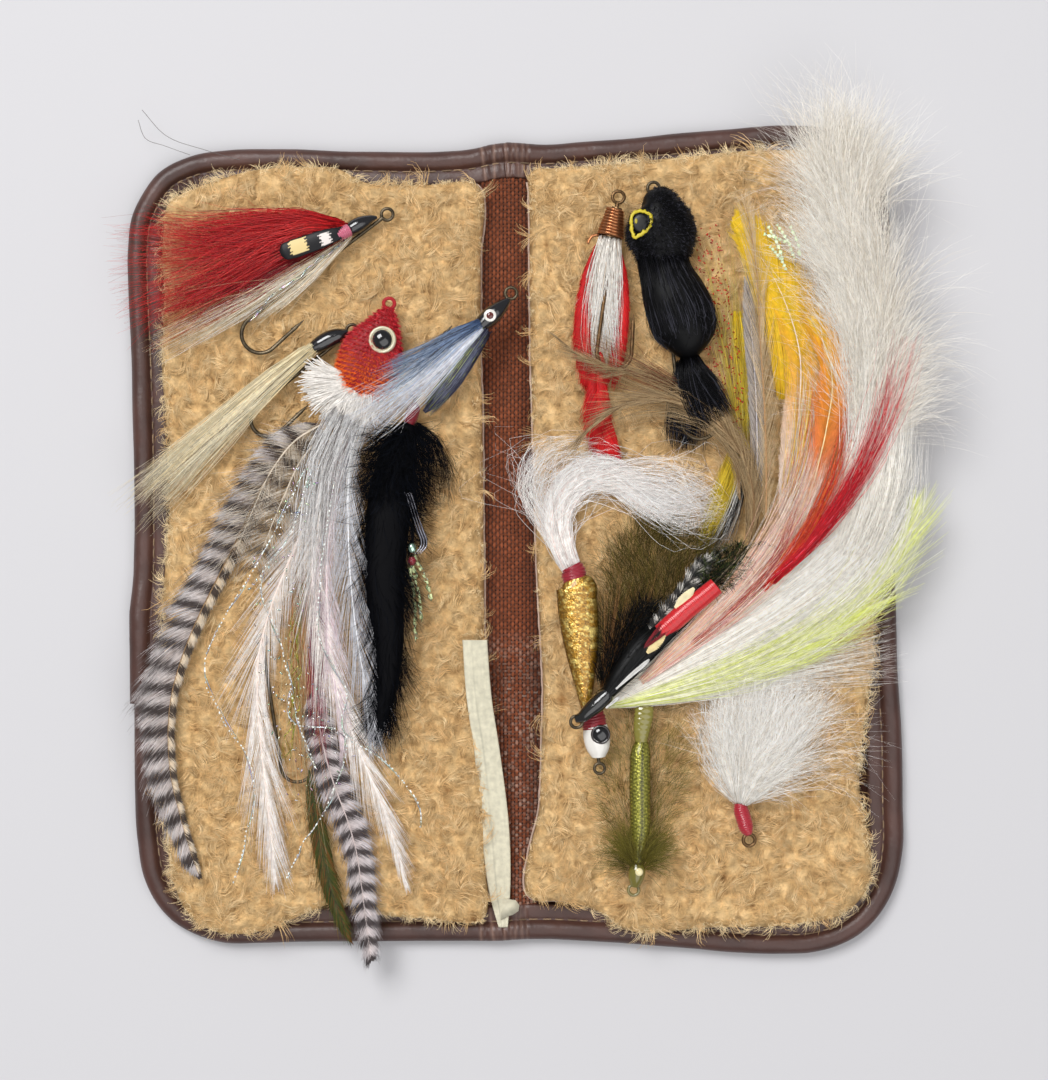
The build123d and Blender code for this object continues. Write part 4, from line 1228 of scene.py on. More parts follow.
# Red streamer
def red_streamer():
    base = "left_panel"
    head = [
        (377, 217.5, 11.4, 3, 0.8), (372, 218.5, 11.5, 7, 1.8), (366, 221, 11.6, 12, 2.8),
        (358, 225, 11.7, 15.5, 3.6), (350, 229.5, 11.7, 14, 3.4), (346, 231.5, 11.7, 10, 2.6),
    ]
    with building("red_streamer.head", LACQUER, base, "black_lacquer", "red_streamer_head") as soup:
        body(soup, head, BLACK)

    reds = [
        (5, (176, 12, 20), (214, 26, 34)), (2, (116, 8, 16), (160, 18, 26)),
        (3, (214, 34, 36), (232, 66, 58)),
    ]
    wing = [
        (348, 229, 12.6, 12, 2.4), (322, 227, 12.9, 34, 3.2), (276, 235, 12.9, 64, 3.4),
        (205, 257, 12.6, 100, 2.8), (134, 268, 12.2, 128, 2),
    ]
    crimson = [
        (350, 233, 12, 8, 1.6), (300, 255, 12, 30, 2), (230, 290, 11.8, 52, 2), (150, 322, 11.6, 60, 1.6),
    ]
    dark_reds = [(1, (104, 8, 18), (140, 18, 28)), (1, (150, 20, 30), (186, 34, 40))]
    with building("red_streamer.wing", HAIR, base, "red_hair", "red_streamer_wing") as soup:
        hair(soup, wing, 560, reds, thick=0.068, clumps=30, wave=1.2, end=(0.45, 0.96), stray=0.08,
             cling=0.9)
        hair(soup, wing, 340, reds, thick=0.058, clumps=40, wave=1.7, end=(0.85, 1.13), stray=0.16,
             cling=0.9, steps=12)
        hair(soup, crimson, 240, dark_reds, thick=0.07, wave=0.9, end=(0.55, 1.08), cling=0.8, clumps=20)

    pales = [
        (3, (226, 206, 170), (238, 224, 196)), (2, (244, 236, 222), (250, 246, 236)),
        (1, (170, 130, 96), (206, 176, 136)),
    ]
    long_throat = [
        (351, 234, 11.8, 8, 1.6), (310, 262, 11.8, 16, 2), (245, 303, 11.6, 28, 2),
        (158, 352, 11.4, 40, 1.4),
    ]
    short_throat = [
        (351, 236, 11.8, 6, 1.6), (330, 258, 11.8, 10, 2), (296, 292, 11.6, 14, 2),
        (256, 322, 11.4, 18, 1.4),
    ]
    with building("red_streamer.throat", PALE_HAIR, base, "white_hair", "red_streamer_throat") as soup:
        hair(soup, long_throat, 210, pales, thick=0.062, wave=1.1, end=(0.45, 1.06), cling=0.8, clumps=18,
             stray=0.15)
        hair(soup, short_throat, 90, pales, thick=0.062, wave=0.6)

    def enamel(place, s, a, shade):
        fray = 0.02 * np.sin(a * 17) + 0.012 * np.sin(a * 41)
        cream = (np.abs(s - 0.27 + fray) < 0.12) & (np.abs(a + 0.1) < 0.78)
        white = (np.abs(s - 0.66 - fray) < 0.07) & (np.abs(a - 0.1) < 0.68)
        shade[cream], shade[white] = linear((226, 202, 142)), linear((232, 222, 216))
        return shade

    cheek = [
        (280.5, 253.5, 15.2, 6, 0.5), (283, 252.5, 15.3, 14, 0.8), (290, 250, 15.4, 18, 0.9),
        (305, 245, 15.4, 18.5, 0.9), (325, 238, 15.3, 17, 0.9), (338, 233.5, 15, 13, 0.8),
        (348, 230, 14.4, 9, 0.6),
    ]
    with building("red_streamer.cheek", ENAMEL, base, "enamel_feather", "red_streamer_cheek") as soup:
        body(soup, cheek, BLACK, sides=64, rings=140, colour=enamel)

    wraps = [(336, 236.5, 14.4, 8, 2), (341, 234, 14.2, 12, 2.6), (349, 230, 13.6, 13, 2.8)]
    with building("red_streamer.thread", FLOSS, base, "red_thread") as soup:
        body(soup, wraps, (196, 100, 124), ribs=0.05, pitch=0.45)

    tinsel = [(350, 236, 13), (300, 275, 12.6), (262, 306, 12.4), (250, 322, 12.2)]
    with building("red_streamer.flash", FLASH, base, "scale_tinsel") as soup:
        flash(soup, [tinsel], (176, 178, 176), repeat=2, wiggle=0.25, width=0.16)

    strays = [
        [(142, 110, 5), (165, 135, 7), (205, 150, 9.6), (240, 160, 10)],
        [(138, 120, 4), (145, 138, 6), (165, 146, 8.6), (190, 155, 10)],
    ]
    with building("red_streamer.strays", HAIR, base, "black_fur") as soup:
        for line in strays:
            thread(soup, [tuple(spot(*p)) for p in line], 0.06, linear((110, 104, 100)), sides=4)


# Cream streamer
def cream_streamer():
    base = "left_panel"
    head = [
        (348, 331, 11.3, 5, 1.2), (343, 334, 11.4, 12, 2.8), (332, 338, 11.6, 17, 3.6),
        (320, 344, 11.7, 16, 3.4), (313, 348, 11.7, 12, 2.8),
    ]
    with building("cream_streamer.head", LACQUER, base, "black_lacquer", "cream_streamer_head") as soup:
        body(soup, head, BLACK)

    palette = [
        (6, (240, 226, 188), (246, 236, 208)), (3, (214, 190, 140), (232, 214, 172)),
        (0.7, (60, 50, 42), (140, 116, 88)),
    ]
    lock = [
        (315, 347, 12.2, 12, 2.2), (296, 360, 12.5, 20, 2.8), (262, 389, 12.5, 30, 2.8),
        (207, 436, 12.4, 42, 2.6), (165, 474, 12.2, 50, 2.2), (136, 500, 12, 52, 1.6),
    ]
    with building("cream_streamer.wing", PALE_HAIR, base, "cream_hair", "cream_streamer_wing") as soup:
        hair(soup, lock, 430, palette, thick=0.078, clumps=18, wave=0.6, end=(0.62, 1.0), cling=0.8)
        hair(soup, lock, 120, palette, thick=0.07, clumps=14, wave=1.1, end=(0.8, 1.1), cling=0.85,
             stray=0.2)


FAN_STEPS = 6


def cut_fan(soup, at, count, rgb):
    """Trimmed straight hair that fans out, left and down, from a pixel at a height."""
    px, py, height = at
    sweep = rng.uniform(0, 1, count)
    heading = np.radians(np.interp(sweep, [0, 1], [158, 282]))
    sx, sy, sz = spot(px - 10 * (1 - sweep) + rng.normal(0, 4, count),
                      py + 8 * sweep + rng.normal(0, 3, count), height + 0 * sweep)
    u = np.linspace(0, 1, FAN_STEPS)
    reach = (11.6 - 3.2 * np.abs(sweep - 0.3)) * rng.uniform(0.88, 1.05, count)
    bow = rng.normal(0, 0.12, count)[:, None] * u
    away = reach[:, None] * u
    x = sx[:, None] + away * np.cos(heading[:, None] + bow)
    y = sy[:, None] + away * np.sin(heading[:, None] + bow)
    z = sz[:, None] + rng.uniform(0, 1, (count, 1)) * np.sin(u * PI)
    z = z - rng.uniform(0.2, 1.6, (count, 1)) * u**2
    shade = linear(rgb) * rng.uniform(0.72, 1.03, (count, 1, 1)) * (0.75 + 0.25 * u)[None, :, None]
    thick = np.full((count, FAN_STEPS), 0.12) * rng.uniform(0.7, 1.2, (count, 1))
    tubes(soup, np.stack([x, y, z], -1), thick, shade, 4)


# Baitfish
def baitfish():
    base = "left_panel"
    shape = [
        (388.5, 307, 13, 6, 1.8), (387, 313, 13, 16, 3.6), (383, 326, 13.1, 34, 5.6),
        (375, 346, 13.1, 58, 6.8), (368, 366, 13.1, 62, 6.6), (362, 384, 12.9, 54, 5.6),
        (359, 393, 12.7, 40, 4.4),
    ]

    def blaze(place, s, tone):
        orange = np.clip((s - 0.56) * 6 + 0.5 * rng.normal(0, 1, s.shape), 0, 1)[:, None, None]
        return tone + (linear((255, 122, 34)) - tone) * orange

    eyelet = spot(389, 303.5, 13)
    # The pink-tipped row is painted highlight on the chenille
    chenille = [
        (4, (164, 14, 26), (222, 34, 48)), (2, (196, 30, 44), (240, 90, 96)),
        (1, (110, 10, 20), (180, 24, 38)),
    ]
    with building("baitfish.head", HAIR, base, "red_chenille", "baitfish_head") as soup:
        body(soup, shape, (150, 20, 28), ribs=0.03, pitch=1.1)
        hoop(soup, eyelet, 1.25, 0.42, linear((170, 34, 40)), lean=0.3)
        nap(soup, shape, 5200, 1.25, chenille, thick=0.085, rows=1.05, tone_at=blaze)

    with building("baitfish.eye_ring", LACQUER, base, "enamel_feather", "baitfish_eye") as soup:
        eye = spot(382, 339.5, 16.9)
        blob(soup, eye - [0, 0, 0.9], (3.2, 3.2, 0.9), linear((222, 214, 180)), rows=14, columns=40)
        hoop(soup, eye - [0, 0, 0.35], 2.75, 0.36, linear((214, 206, 176)), steps=48)

    with building("baitfish.pupil", LACQUER, base, "black_lacquer") as soup:
        blob(soup, eye - [0, 0, 0.35], (2.3, 2.3, 1.3), linear((9, 10, 12)), rows=26, columns=40)

    # Cut collar, fanned wide to the left
    fan_at = (362, 378, 14.2)
    cut = [(4, (236, 228, 220), (250, 248, 244)), (1, (214, 190, 176), (236, 222, 212))]
    ruff = [
        (366, 392, 13.4, 34, 4), (364, 402, 13.6, 50, 4.4), (358, 416, 13.4, 60, 4), (350, 432, 13, 66, 3),
    ]
    with building("baitfish.collar", PALE_HAIR, base, "white_hair", "baitfish_collar") as soup:
        cut_fan(soup, fan_at, 420, (246, 240, 232))
        hair(soup, ruff, 260, cut, thick=0.08, start=(0, 0.25), end=(0.7, 1.0), wave=0.4, clumps=30,
             cling=0.4, steps=6)

    # Two barred feathers, their shafts toward the inner edge
    buff = [(3, (228, 206, 176), (238, 224, 204)), (1, (206, 180, 146), (226, 206, 176))]
    grey = [(3, (216, 204, 202), (234, 226, 228)), (1, (190, 176, 174), (216, 206, 206))]
    frost = [(3, (214, 202, 196), (238, 232, 232)), (1, (186, 168, 158), (222, 210, 206))]
    outer = [
        (318, 424, 12, 14, 14), (300, 438, 11.6, 22, 26), (280, 458, 11.4, 20, 30),
        (256, 499, 11.4, 16, 34), (236, 541, 11.4, 14, 36), (216, 581, 11.4, 12, 38),
        (196, 622, 11.4, 11, 40), (181, 660, 11.4, 10, 40), (171, 698, 11.2, 9, 38), (168, 733, 11, 9, 34),
        (171, 777, 10.8, 8, 27), (180, 815, 10.6, 7, 20), (192, 856, 10.4, 6, 12), (200, 878, 10.2, 2, 2),
    ]
    with building("baitfish.grizzly_outer", FEATHER, base, "grizzly_feather",
                  "baitfish_grizzly_outer") as soup:
        for vane, wisp in ((0.22, (0.72, 1.05)), (0, (0.8, 1.25))):
            feather(soup, outer, buff, other=frost, bars=(5.0, (48, 32, 28), 0.0), angle=(66, 40),
                    stem=(186, 150, 108), split=0.34, bend=0.45, ragged=wisp, vane=vane,
                    spacing=0.15 if vane else 0.32, fluff=0.08)

    inner = [
        (314, 690, 12.4, 14, 14), (320, 730, 12.4, 22, 20), (326, 758, 12.4, 24, 22),
        (335, 787, 12.2, 24, 21), (347, 819, 12, 22, 20), (356, 850, 11.8, 21, 18),
        (361, 882, 11.6, 18, 16), (365, 914, 11.2, 14, 13), (369, 945, 10.8, 9, 8), (371, 960, 10.6, 2, 2),
    ]
    with building("baitfish.grizzly_inner", FEATHER, base, "grizzly_feather",
                  "baitfish_grizzly_inner") as soup:
        feather(soup, inner, grey, bars=(4.2, (50, 38, 38), 0.05), angle=(66, 36), stem=(206, 190, 186),
                split=0.3, bend=0.45, ragged=(0.7, 1.3), vane=0.2, fluff=0.08)

    soft = [(2, (214, 200, 180), (238, 228, 214)), (1, (160, 140, 114), (198, 180, 156))]
    thick_fluff = [
        (330, 430, 12.8, 12, 10), (304, 456, 12.8, 26, 24), (284, 496, 12.8, 28, 26),
        (266, 540, 12.6, 24, 24), (256, 566, 12.4, 8, 8),
    ]
    loose_fluff = [
        (322, 424, 13.2, 10, 10), (296, 440, 13.2, 20, 24), (272, 470, 12.8, 22, 30),
        (252, 512, 12.6, 18, 30), (236, 552, 12.4, 8, 14),
    ]
    with building("baitfish.fluff", FEATHER, base, "grizzly_feather") as soup:
        feather(soup, thick_fluff, soft, bars=(5.2, (60, 48, 40), -0.2), spacing=0.15, thick=0.06,
                angle=(58, 40), split=0.4, fluff=0.4, vane=0, ragged=(0.6, 1.5))
        feather(soup, loose_fluff, soft, bars=(6.0, (84, 62, 48), -0.6), spacing=0.24, thick=0.055,
                angle=(54, 44), split=0.5, fluff=0.5, vane=0, ragged=(0.7, 1.6))

    # White saddles, open enough to see between their barbs
    pale = [(4, (240, 232, 224), (250, 246, 242)), (1, (222, 204, 196), (240, 228, 222))]
    cold = [(3, (190, 190, 195), (222, 222, 226)), (1, (148, 146, 152), (192, 190, 196))]
    open_barbs = dict(spacing=0.27, thick=0.055, vane=0, split=0.16, bend=0.15, ragged=(0.5, 1.25))
    left_saddle = [
        (345, 425, 13.4, 10, 10), (325, 480, 13.4, 16, 18), (296, 545, 13.2, 22, 24),
        (270, 610, 13, 26, 26), (258, 660, 12.8, 28, 26), (258, 710, 12.6, 28, 26),
        (263, 765, 12.2, 24, 22), (269, 820, 11.8, 18, 16), (273, 858, 11.4, 11, 10),
        (275, 882, 11.2, 2, 2),
    ]
    right_saddle = [
        (340, 430, 14, 8, 8), (318, 500, 14.2, 16, 18), (312, 560, 14.2, 22, 24), (317, 610, 14, 24, 26),
        (330, 668, 13.8, 22, 24), (348, 722, 13.4, 20, 22), (368, 772, 13, 18, 18),
        (386, 815, 12.6, 13, 13), (399, 858, 12.2, 8, 8), (407, 888, 11.8, 2, 2),
    ]
    with building("baitfish.saddle", PALE_FEATHER, base, "white_hair", "baitfish_saddle") as soup:
        feather(soup, left_saddle, pale, angle=(23, 9), stem=(246, 226, 214), **open_barbs)
        feather(soup, right_saddle, pale, angle=(23, 9), stem=(250, 240, 234), **open_barbs)

    grey_saddle = [
        (352, 430, 14.4, 10, 8), (348, 500, 14.8, 22, 18), (350, 572, 14.8, 26, 22),
        (356, 630, 14.6, 24, 22), (364, 680, 14.2, 20, 19), (369, 718, 13.8, 14, 14),
        (372, 738, 13.4, 5, 5),
    ]
    pink_saddle = [
        (348, 436, 14, 8, 8), (334, 500, 14.2, 14, 14), (327, 560, 14.2, 18, 17), (330, 640, 14, 20, 18),
        (338, 700, 13.6, 16, 15), (344, 752, 13.2, 5, 5),
    ]
    rose = [(2, (222, 204, 206), (240, 228, 230)), (1, (200, 174, 182), (226, 208, 212))]
    with building("baitfish.saddle_grey", PALE_FEATHER, base, "white_hair") as soup:
        feather(soup, grey_saddle, cold, angle=(22, 9), stem=(236, 236, 238), **open_barbs)
        feather(soup, pink_saddle, rose, angle=(22, 9), stem=(236, 214, 214), **open_barbs)

    whites = [
        (4, (226, 224, 222), (246, 244, 242)), (1, (176, 172, 172), (214, 210, 210)),
        (1, (90, 84, 80), (150, 144, 140)),
    ]
    hackle = [
        (350, 412, 14.6, 44, 2.4), (332, 450, 14.8, 60, 2.6), (322, 510, 14.6, 66, 2.4),
        (318, 580, 14.2, 74, 2), (316, 640, 13.6, 90, 1.8),
    ]
    with building("baitfish.hackle", PALE_HAIR, base, "white_hair") as soup:
        hair(soup, hackle, 360, whites, thick=0.05, wave=1.3, clumps=44, end=(0.35, 1.0), steps=8)

    green = [
        (2, (62, 66, 22), (88, 94, 34)), (1, (40, 46, 16), (66, 74, 28)),
        (0.8, (110, 60, 20), (150, 90, 40)),
    ]
    olive_feather = [
        (309, 770, 11.2, 8, 8), (315, 810, 11.2, 12, 12), (324, 860, 11, 12, 11), (336, 905, 10.8, 8, 8),
        (349, 940, 10.6, 2, 2),
    ]
    olive_hairs = [(352, 850, 11, 10, 1), (362, 890, 11, 14, 1), (377, 932, 10.6, 14, 0.8)]
    with building("baitfish.olive", FEATHER, base, "olive_fur") as soup:
        feather(soup, olive_feather, green, spacing=0.15, thick=0.06, angle=(32, 14), vane=0.1,
                ragged=(0.4, 1.4), split=0.25)
        hair(soup, olive_hairs, 60, green, thick=0.06)

    crimson_hairs = [
        (318, 600, 12.6, 14, 1.4), (316, 690, 12.6, 24, 1.8), (320, 740, 12.6, 24, 1.6),
        (326, 776, 12.4, 18, 1),
    ]
    crimson = [(1, (120, 14, 40), (160, 34, 60)), (1, (150, 40, 60), (200, 110, 120))]
    amber_hairs = [
        (300, 560, 12.2, 20, 1.4), (300, 680, 12, 40, 1.6), (306, 780, 11.6, 60, 1.4),
        (316, 880, 11, 70, 1),
    ]
    amber = [(1, (214, 190, 140), (232, 214, 172)), (1, (190, 110, 60), (220, 150, 90))]
    with building("baitfish.crimson", HAIR, base, "red_hair") as soup:
        hair(soup, crimson_hairs, 170, crimson, thick=0.062, wave=0.6, end=(0.5, 1))
        hair(soup, amber_hairs, 90, amber, thick=0.05, wave=2.2, end=(0.4, 1), stray=0.3)

    left = [
        (304, 470, 15.6), (270, 540, 15.4), (248, 578, 14.8), (206, 680, 13.4), (225, 722, 13),
        (251, 766, 12.8), (234, 886, 11.6),
    ]
    mid = [
        (310, 470, 15.6), (284, 545, 15.6), (263, 570, 15.4), (283, 650, 15), (298, 719, 14.4),
        (316, 771, 13.8),
    ]
    right = [
        (334, 480, 15.8), (322, 560, 15.8), (322, 646, 15.4), (347, 690, 15), (343, 733, 14.6),
        (368, 749, 14), (402, 779, 13.4), (419, 806, 12.8), (420, 827, 12.4),
    ]
    low = [
        (290, 690, 14.4), (290, 720, 14.2), (343, 733, 14.2), (330, 800, 13.4), (300, 850, 12.6),
        (286, 880, 12),
    ]
    sparks = [
        (310, 470, 15.4, 30, 1), (280, 540, 15.4, 40, 1), (275, 620, 14.8, 60, 1), (300, 720, 14.2, 70, 1),
        (330, 790, 13.6, 90, 1),
    ]
    gold_line = [(320, 560, 13.4), (296, 620, 13.4), (296, 690, 13), (286, 760, 12.6)]
    with building("baitfish.flash", FLASH, base, "scale_tinsel") as soup:
        flash(soup, [left, mid, right, low], (226, 232, 226), width=0.16, wiggle=0.35, repeat=1,
              sparkle=0.3)
        specks(soup, sparks, 150, (232, 238, 230), 0.9, 0.15)
        flash(soup, [gold_line], (196, 190, 96), width=0.1, wiggle=0.9, repeat=6)

    # Painted glints over the tinsel
    with building("baitfish.glints", GLINT, base, "scale_tinsel") as soup:
        glints(soup, [left, mid, right, low], (246, 250, 244))


# Blue streamer
def blue_streamer():
    base = "blue_fly"
    head = [
        (509, 299.5, 11.4, 5, 1.4), (504, 304, 11.4, 11, 2.6), (496, 311.5, 11.5, 17, 3.8),
        (487, 319.5, 11.5, 18, 4), (478, 328, 11.6, 14, 3.2),
    ]
    with building("blue_streamer.head", LACQUER, base, "black_lacquer", "blue_streamer_head") as soup:
        body(soup, head, BLACK)

    with building("blue_streamer.eye", LACQUER, base, "enamel_feather") as soup:
        eye = spot(490, 315.5, 13.35)
        blob(soup, eye, (1.45, 1.45, 0.3), linear((232, 228, 220)), rows=12, columns=32)
        hoop(soup, eye + [0, 0, 0.1], 1.25, 0.2, linear((232, 228, 220)))

    with building("blue_streamer.pupil", LACQUER, base, "black_lacquer") as soup:
        blob(soup, eye + [0, 0, 0.15], (0.85, 0.85, 0.35), linear((92, 30, 22)), rows=12, columns=28)

    blues = [
        (4, (108, 136, 178), (186, 202, 222)), (1, (66, 88, 132), (128, 148, 180)),
        (1.2, (54, 54, 62), (112, 112, 120)),
    ]
    pales = [
        (5, (226, 230, 238), (246, 246, 246)), (1, (196, 190, 206), (224, 220, 228)),
        (1, (150, 176, 214), (206, 216, 232)),
    ]
    upper = [
        (481, 323, 13.2, 10, 2.2), (462, 333, 14, 18, 2.4), (436, 350, 15, 26, 2.4),
        (404, 370, 15.7, 38, 2.2), (372, 388, 15.9, 48, 1.8),
    ]
    lower = [
        (481, 326, 12.7, 12, 2.2), (464, 340, 13.4, 22, 2.6), (440, 361, 14.4, 34, 2.6),
        (412, 384, 15.2, 50, 2.4), (378, 408, 15.7, 66, 2), (348, 426, 15.8, 76, 1.6),
    ]
    with building("blue_streamer.wing", HAIR, base, "blue_hair", "blue_streamer_wing") as soup:
        hair(soup, upper, 300, blues, thick=0.062, clumps=22, wave=0.6, end=(0.45, 1.02), cling=0.7)

    with building("blue_streamer.pale", PALE_HAIR, base, "white_hair") as soup:
        hair(soup, lower, 420, pales, thick=0.06, clumps=30, wave=0.8, end=(0.4, 1.04), cling=0.7,
             stray=0.12)

    slate = [
        (5, (38, 36, 52), (66, 62, 84)), (2, (84, 88, 112), (124, 132, 152)),
        (1.2, (140, 150, 52), (186, 196, 88)),
    ]
    belly = [
        (486, 330, 12, 8, 2.2), (472, 352, 12.2, 15, 2.8), (452, 380, 12.4, 17, 2.8),
        (434, 402, 12.4, 12, 2), (424, 412, 12.4, 4, 0.8),
    ]
    belly_hair = [
        (488, 329, 12.2, 9, 2.4), (472, 352, 12.4, 16, 3.2), (452, 380, 12.6, 19, 3.2),
        (428, 409, 12.6, 14, 2.4),
    ]
    with building("blue_streamer.body", HAIR, base, "blue_hair") as soup:
        body(soup, belly, (42, 40, 56), ribs=0.03, pitch=0.9)
        hair(soup, belly_hair, 300, slate, thick=0.09, shell=True, end=(0.7, 1.05), start=(0, 0.3),
             wave=0.2)


# Black leech
def black_leech():
    base = "left_panel"
    head = [
        (414.5, 403, 11.6, 6, 1.6), (414, 407, 11.8, 12, 2.8), (412, 414, 12, 14, 3.4),
        (410, 421, 12, 13, 3.2), (409, 425, 12, 10, 2.6),
    ]
    with building("black_leech.head", FLOSS, base, "red_thread", "black_leech_head") as soup:
        body(soup, head, (128, 16, 34), ribs=0.04, pitch=0.5)

    ink = [(5, (4, 5, 8), (10, 12, 18)), (2, (8, 10, 16), (22, 27, 38)), (1, (3, 3, 4), (7, 7, 8))]
    strip = [
        (409, 424, 12.6, 14, 2), (400, 450, 13.2, 34, 3.4), (392, 490, 13.8, 44, 4.2),
        (386, 545, 14, 42, 4.6), (385, 600, 14, 38, 4.6), (388, 650, 13.6, 30, 4), (383, 705, 13.2, 20, 3),
        (376, 740, 12.8, 8, 2),
    ]
    shoulders = [
        (409, 424, 12.8, 14, 2), (398, 452, 13.8, 60, 3.4), (388, 500, 14, 64, 3), (388, 560, 13.8, 50, 3),
    ]
    right_puff = [
        (411, 424, 12.6, 12, 2), (414, 446, 13.2, 34, 3), (414, 478, 13, 34, 3), (410, 506, 12.8, 20, 2),
    ]
    top_puff = [
        (410, 426, 14, 20, 2), (402, 442, 15, 56, 3), (390, 464, 15.6, 60, 3), (384, 494, 15.4, 44, 3),
    ]
    side_hairs = [
        (414, 424, 13, 8, 2), (430, 440, 13, 24, 2), (440, 470, 12.6, 44, 2), (442, 510, 12, 50, 1.6),
    ]
    with building("black_leech.fur", DARK_FUR, base, "black_fur", "black_leech_fur") as soup:
        body(soup, strip, (5, 5, 8))
        fur(soup, strip, 4400, 9.5, ink, thick=0.055, splay=0.5, core=(0, 0.93), rise=0.22, flow=0.45,
            spread=0.95)
        fur(soup, shoulders, 1500, 8, ink, thick=0.05, splay=1.5, core=(0, 0.9), rise=0.3, flow=0.5)
        fur(soup, strip[3:], 700, 6, ink, thick=0.04, splay=1.6, rise=0.2, curl=1.5, spread=1.0)
        fur(soup, right_puff, 1000, 6, ink, thick=0.065, splay=1.2, rise=0.3, curl=1.0)
        fur(soup, top_puff, 1500, 6, ink, thick=0.07, splay=1.3, rise=0.3, curl=1.2)
        hair(soup, side_hairs, 120, ink, thick=0.06, wave=1.6, steps=8)

    bead = spot(412, 548, 15.2)
    strap = [(404, 492), (410, 510), (417, 530), (420, 545), (413, 555)]
    trails = [
        [(412, 560, 14.8), (418, 590, 13.2), (421, 621, 11.4)],
        [(410, 560, 14.8), (414, 600, 13), (416, 640, 11.4)],
        [(414, 556, 14.8), (426, 580, 13), (431, 600, 11.6)],
    ]
    with building("black_leech.flash", FLASH, base, "scale_tinsel") as soup:
        rows = [tuple(spot(a + 3, b, 15.4 - 0.02 * n)) for n, (a, b) in enumerate(strap)]
        for shift in (-0.5, 0.1, 0.7):
            path = spline([tuple(np.array(row) + [shift, 0, 0.6]) for row in rows], 40)[:, :3]
            tubes(soup, path[None], np.full((1, 40), 0.36),
                  np.broadcast_to(linear((150, 150, 158)), (1, 40, 3)), 4, 0.2, 0.12)
        flash(soup, trails, (214, 226, 190), width=0.2, wiggle=0.3, repeat=2, sparkle=0.3)
        blob(soup, bead, (1.1, 1.4, 1.1), linear((190, 222, 200)))

    # Painted glints over the tinsel
    with building("black_leech.glints", GLINT, base, "scale_tinsel") as soup:
        glints(soup, trails, (226, 238, 176), pitch=1.6, length=1.2, width=0.28)

    knot = [(412, 557, 15, 5, 1.2), (412, 561, 15, 9, 1.8), (412, 565, 14.8, 4, 1)]
    with building("black_leech.knot", FLOSS, base, "red_thread") as soup:
        body(soup, knot, (128, 16, 34), ribs=0.05, pitch=0.4)


red_streamer()
cream_streamer()
baitfish()
blue_streamer()
black_leech()


# Copper-headed fly
def copper_fly():
    base = "right_panel"

    with building("copper_fly.winding", COPPER, base, "copper_wire", "copper_fly_winding") as soup:
        top, foot = np.array(spot(615, 210, 12.7)), np.array(spot(610, 237, 12.7))
        axis = unit(foot - top)
        side = unit(np.array([axis[1], -axis[0], 0]))
        turns, wire = 9, 0.4
        t = np.linspace(0, 1, turns * 26)
        radius = 1.75 + 1.15 * t
        angle = 2 * PI * turns * t
        path = top + (foot - top) * t[:, None] + side * (radius * np.cos(angle))[:, None]
        path = path + np.array([0, 0, 1]) * (radius * np.sin(angle))[:, None]
        # Painted light: each turn of the wire is lighter on one side of the coil, darker on the other
        tone = linear((176, 116, 76)) * (0.85 + 0.25 * np.sin(angle * 0.5)[:, None] ** 2)
        tubes(soup, path[None], np.full((1, len(t)), wire), tone[None], 8)
        end = [tuple(path[-1] + side * out + axis * on) for out, on in ((0, 0), (1.2, 0.6), (1.9, 2.4))]
        thread(soup, end, 0.34, linear((176, 116, 76)))

    whites = [(5, (244, 238, 228), (252, 249, 244)), (1, (206, 186, 166), (236, 224, 208))]
    wing = [
        (610, 236, 12.6, 22, 4), (607, 262, 12.8, 34, 4), (604, 300, 12.4, 42, 3.4),
        (604, 345, 11.8, 46, 2.4), (606, 372, 11.4, 40, 1.6),
    ]
    with building("copper_fly.hair", PALE_HAIR, base, "white_hair", "copper_fly_hair") as soup:
        hair(soup, wing, 330, whites, thick=0.075, clumps=16, end=(0.5, 1.0), wave=0.7, cling=0.75,
             stray=0.15)

    red = [(4, (208, 16, 20), (228, 28, 28)), (1, (168, 10, 16), (208, 20, 24))]
    left_feather = [
        (600, 240, 12, 5, 5), (591, 268, 12, 10, 9), (585, 300, 11.8, 13, 11), (583, 335, 11.4, 13, 11),
        (586, 362, 11.2, 9, 9), (590, 378, 11, 3, 3),
    ]
    right_feather = [
        (614, 240, 12, 5, 5), (620, 268, 12, 8, 10), (622, 300, 11.8, 9, 11), (620, 335, 11.4, 9, 11),
        (616, 362, 11.2, 8, 9), (612, 376, 11, 3, 3),
    ]
    tail_feather = [
        (600, 352, 12, 8, 8), (598, 375, 12, 17, 17), (598, 400, 11.8, 20, 20), (601, 422, 11.6, 17, 16),
        (605, 440, 11.4, 10, 9), (607, 452, 11.2, 2, 2),
    ]
    with building("copper_fly.feathers", FEATHER, base, "red_hair") as soup:
        feather(soup, left_feather, red, angle=(28, 12), split=0.06, vane=0.24)
        feather(soup, right_feather, red, angle=(28, 12), split=0.06, vane=0.24)
        feather(soup, tail_feather, red, angle=(34, 18), split=0.05, vane=0.24)


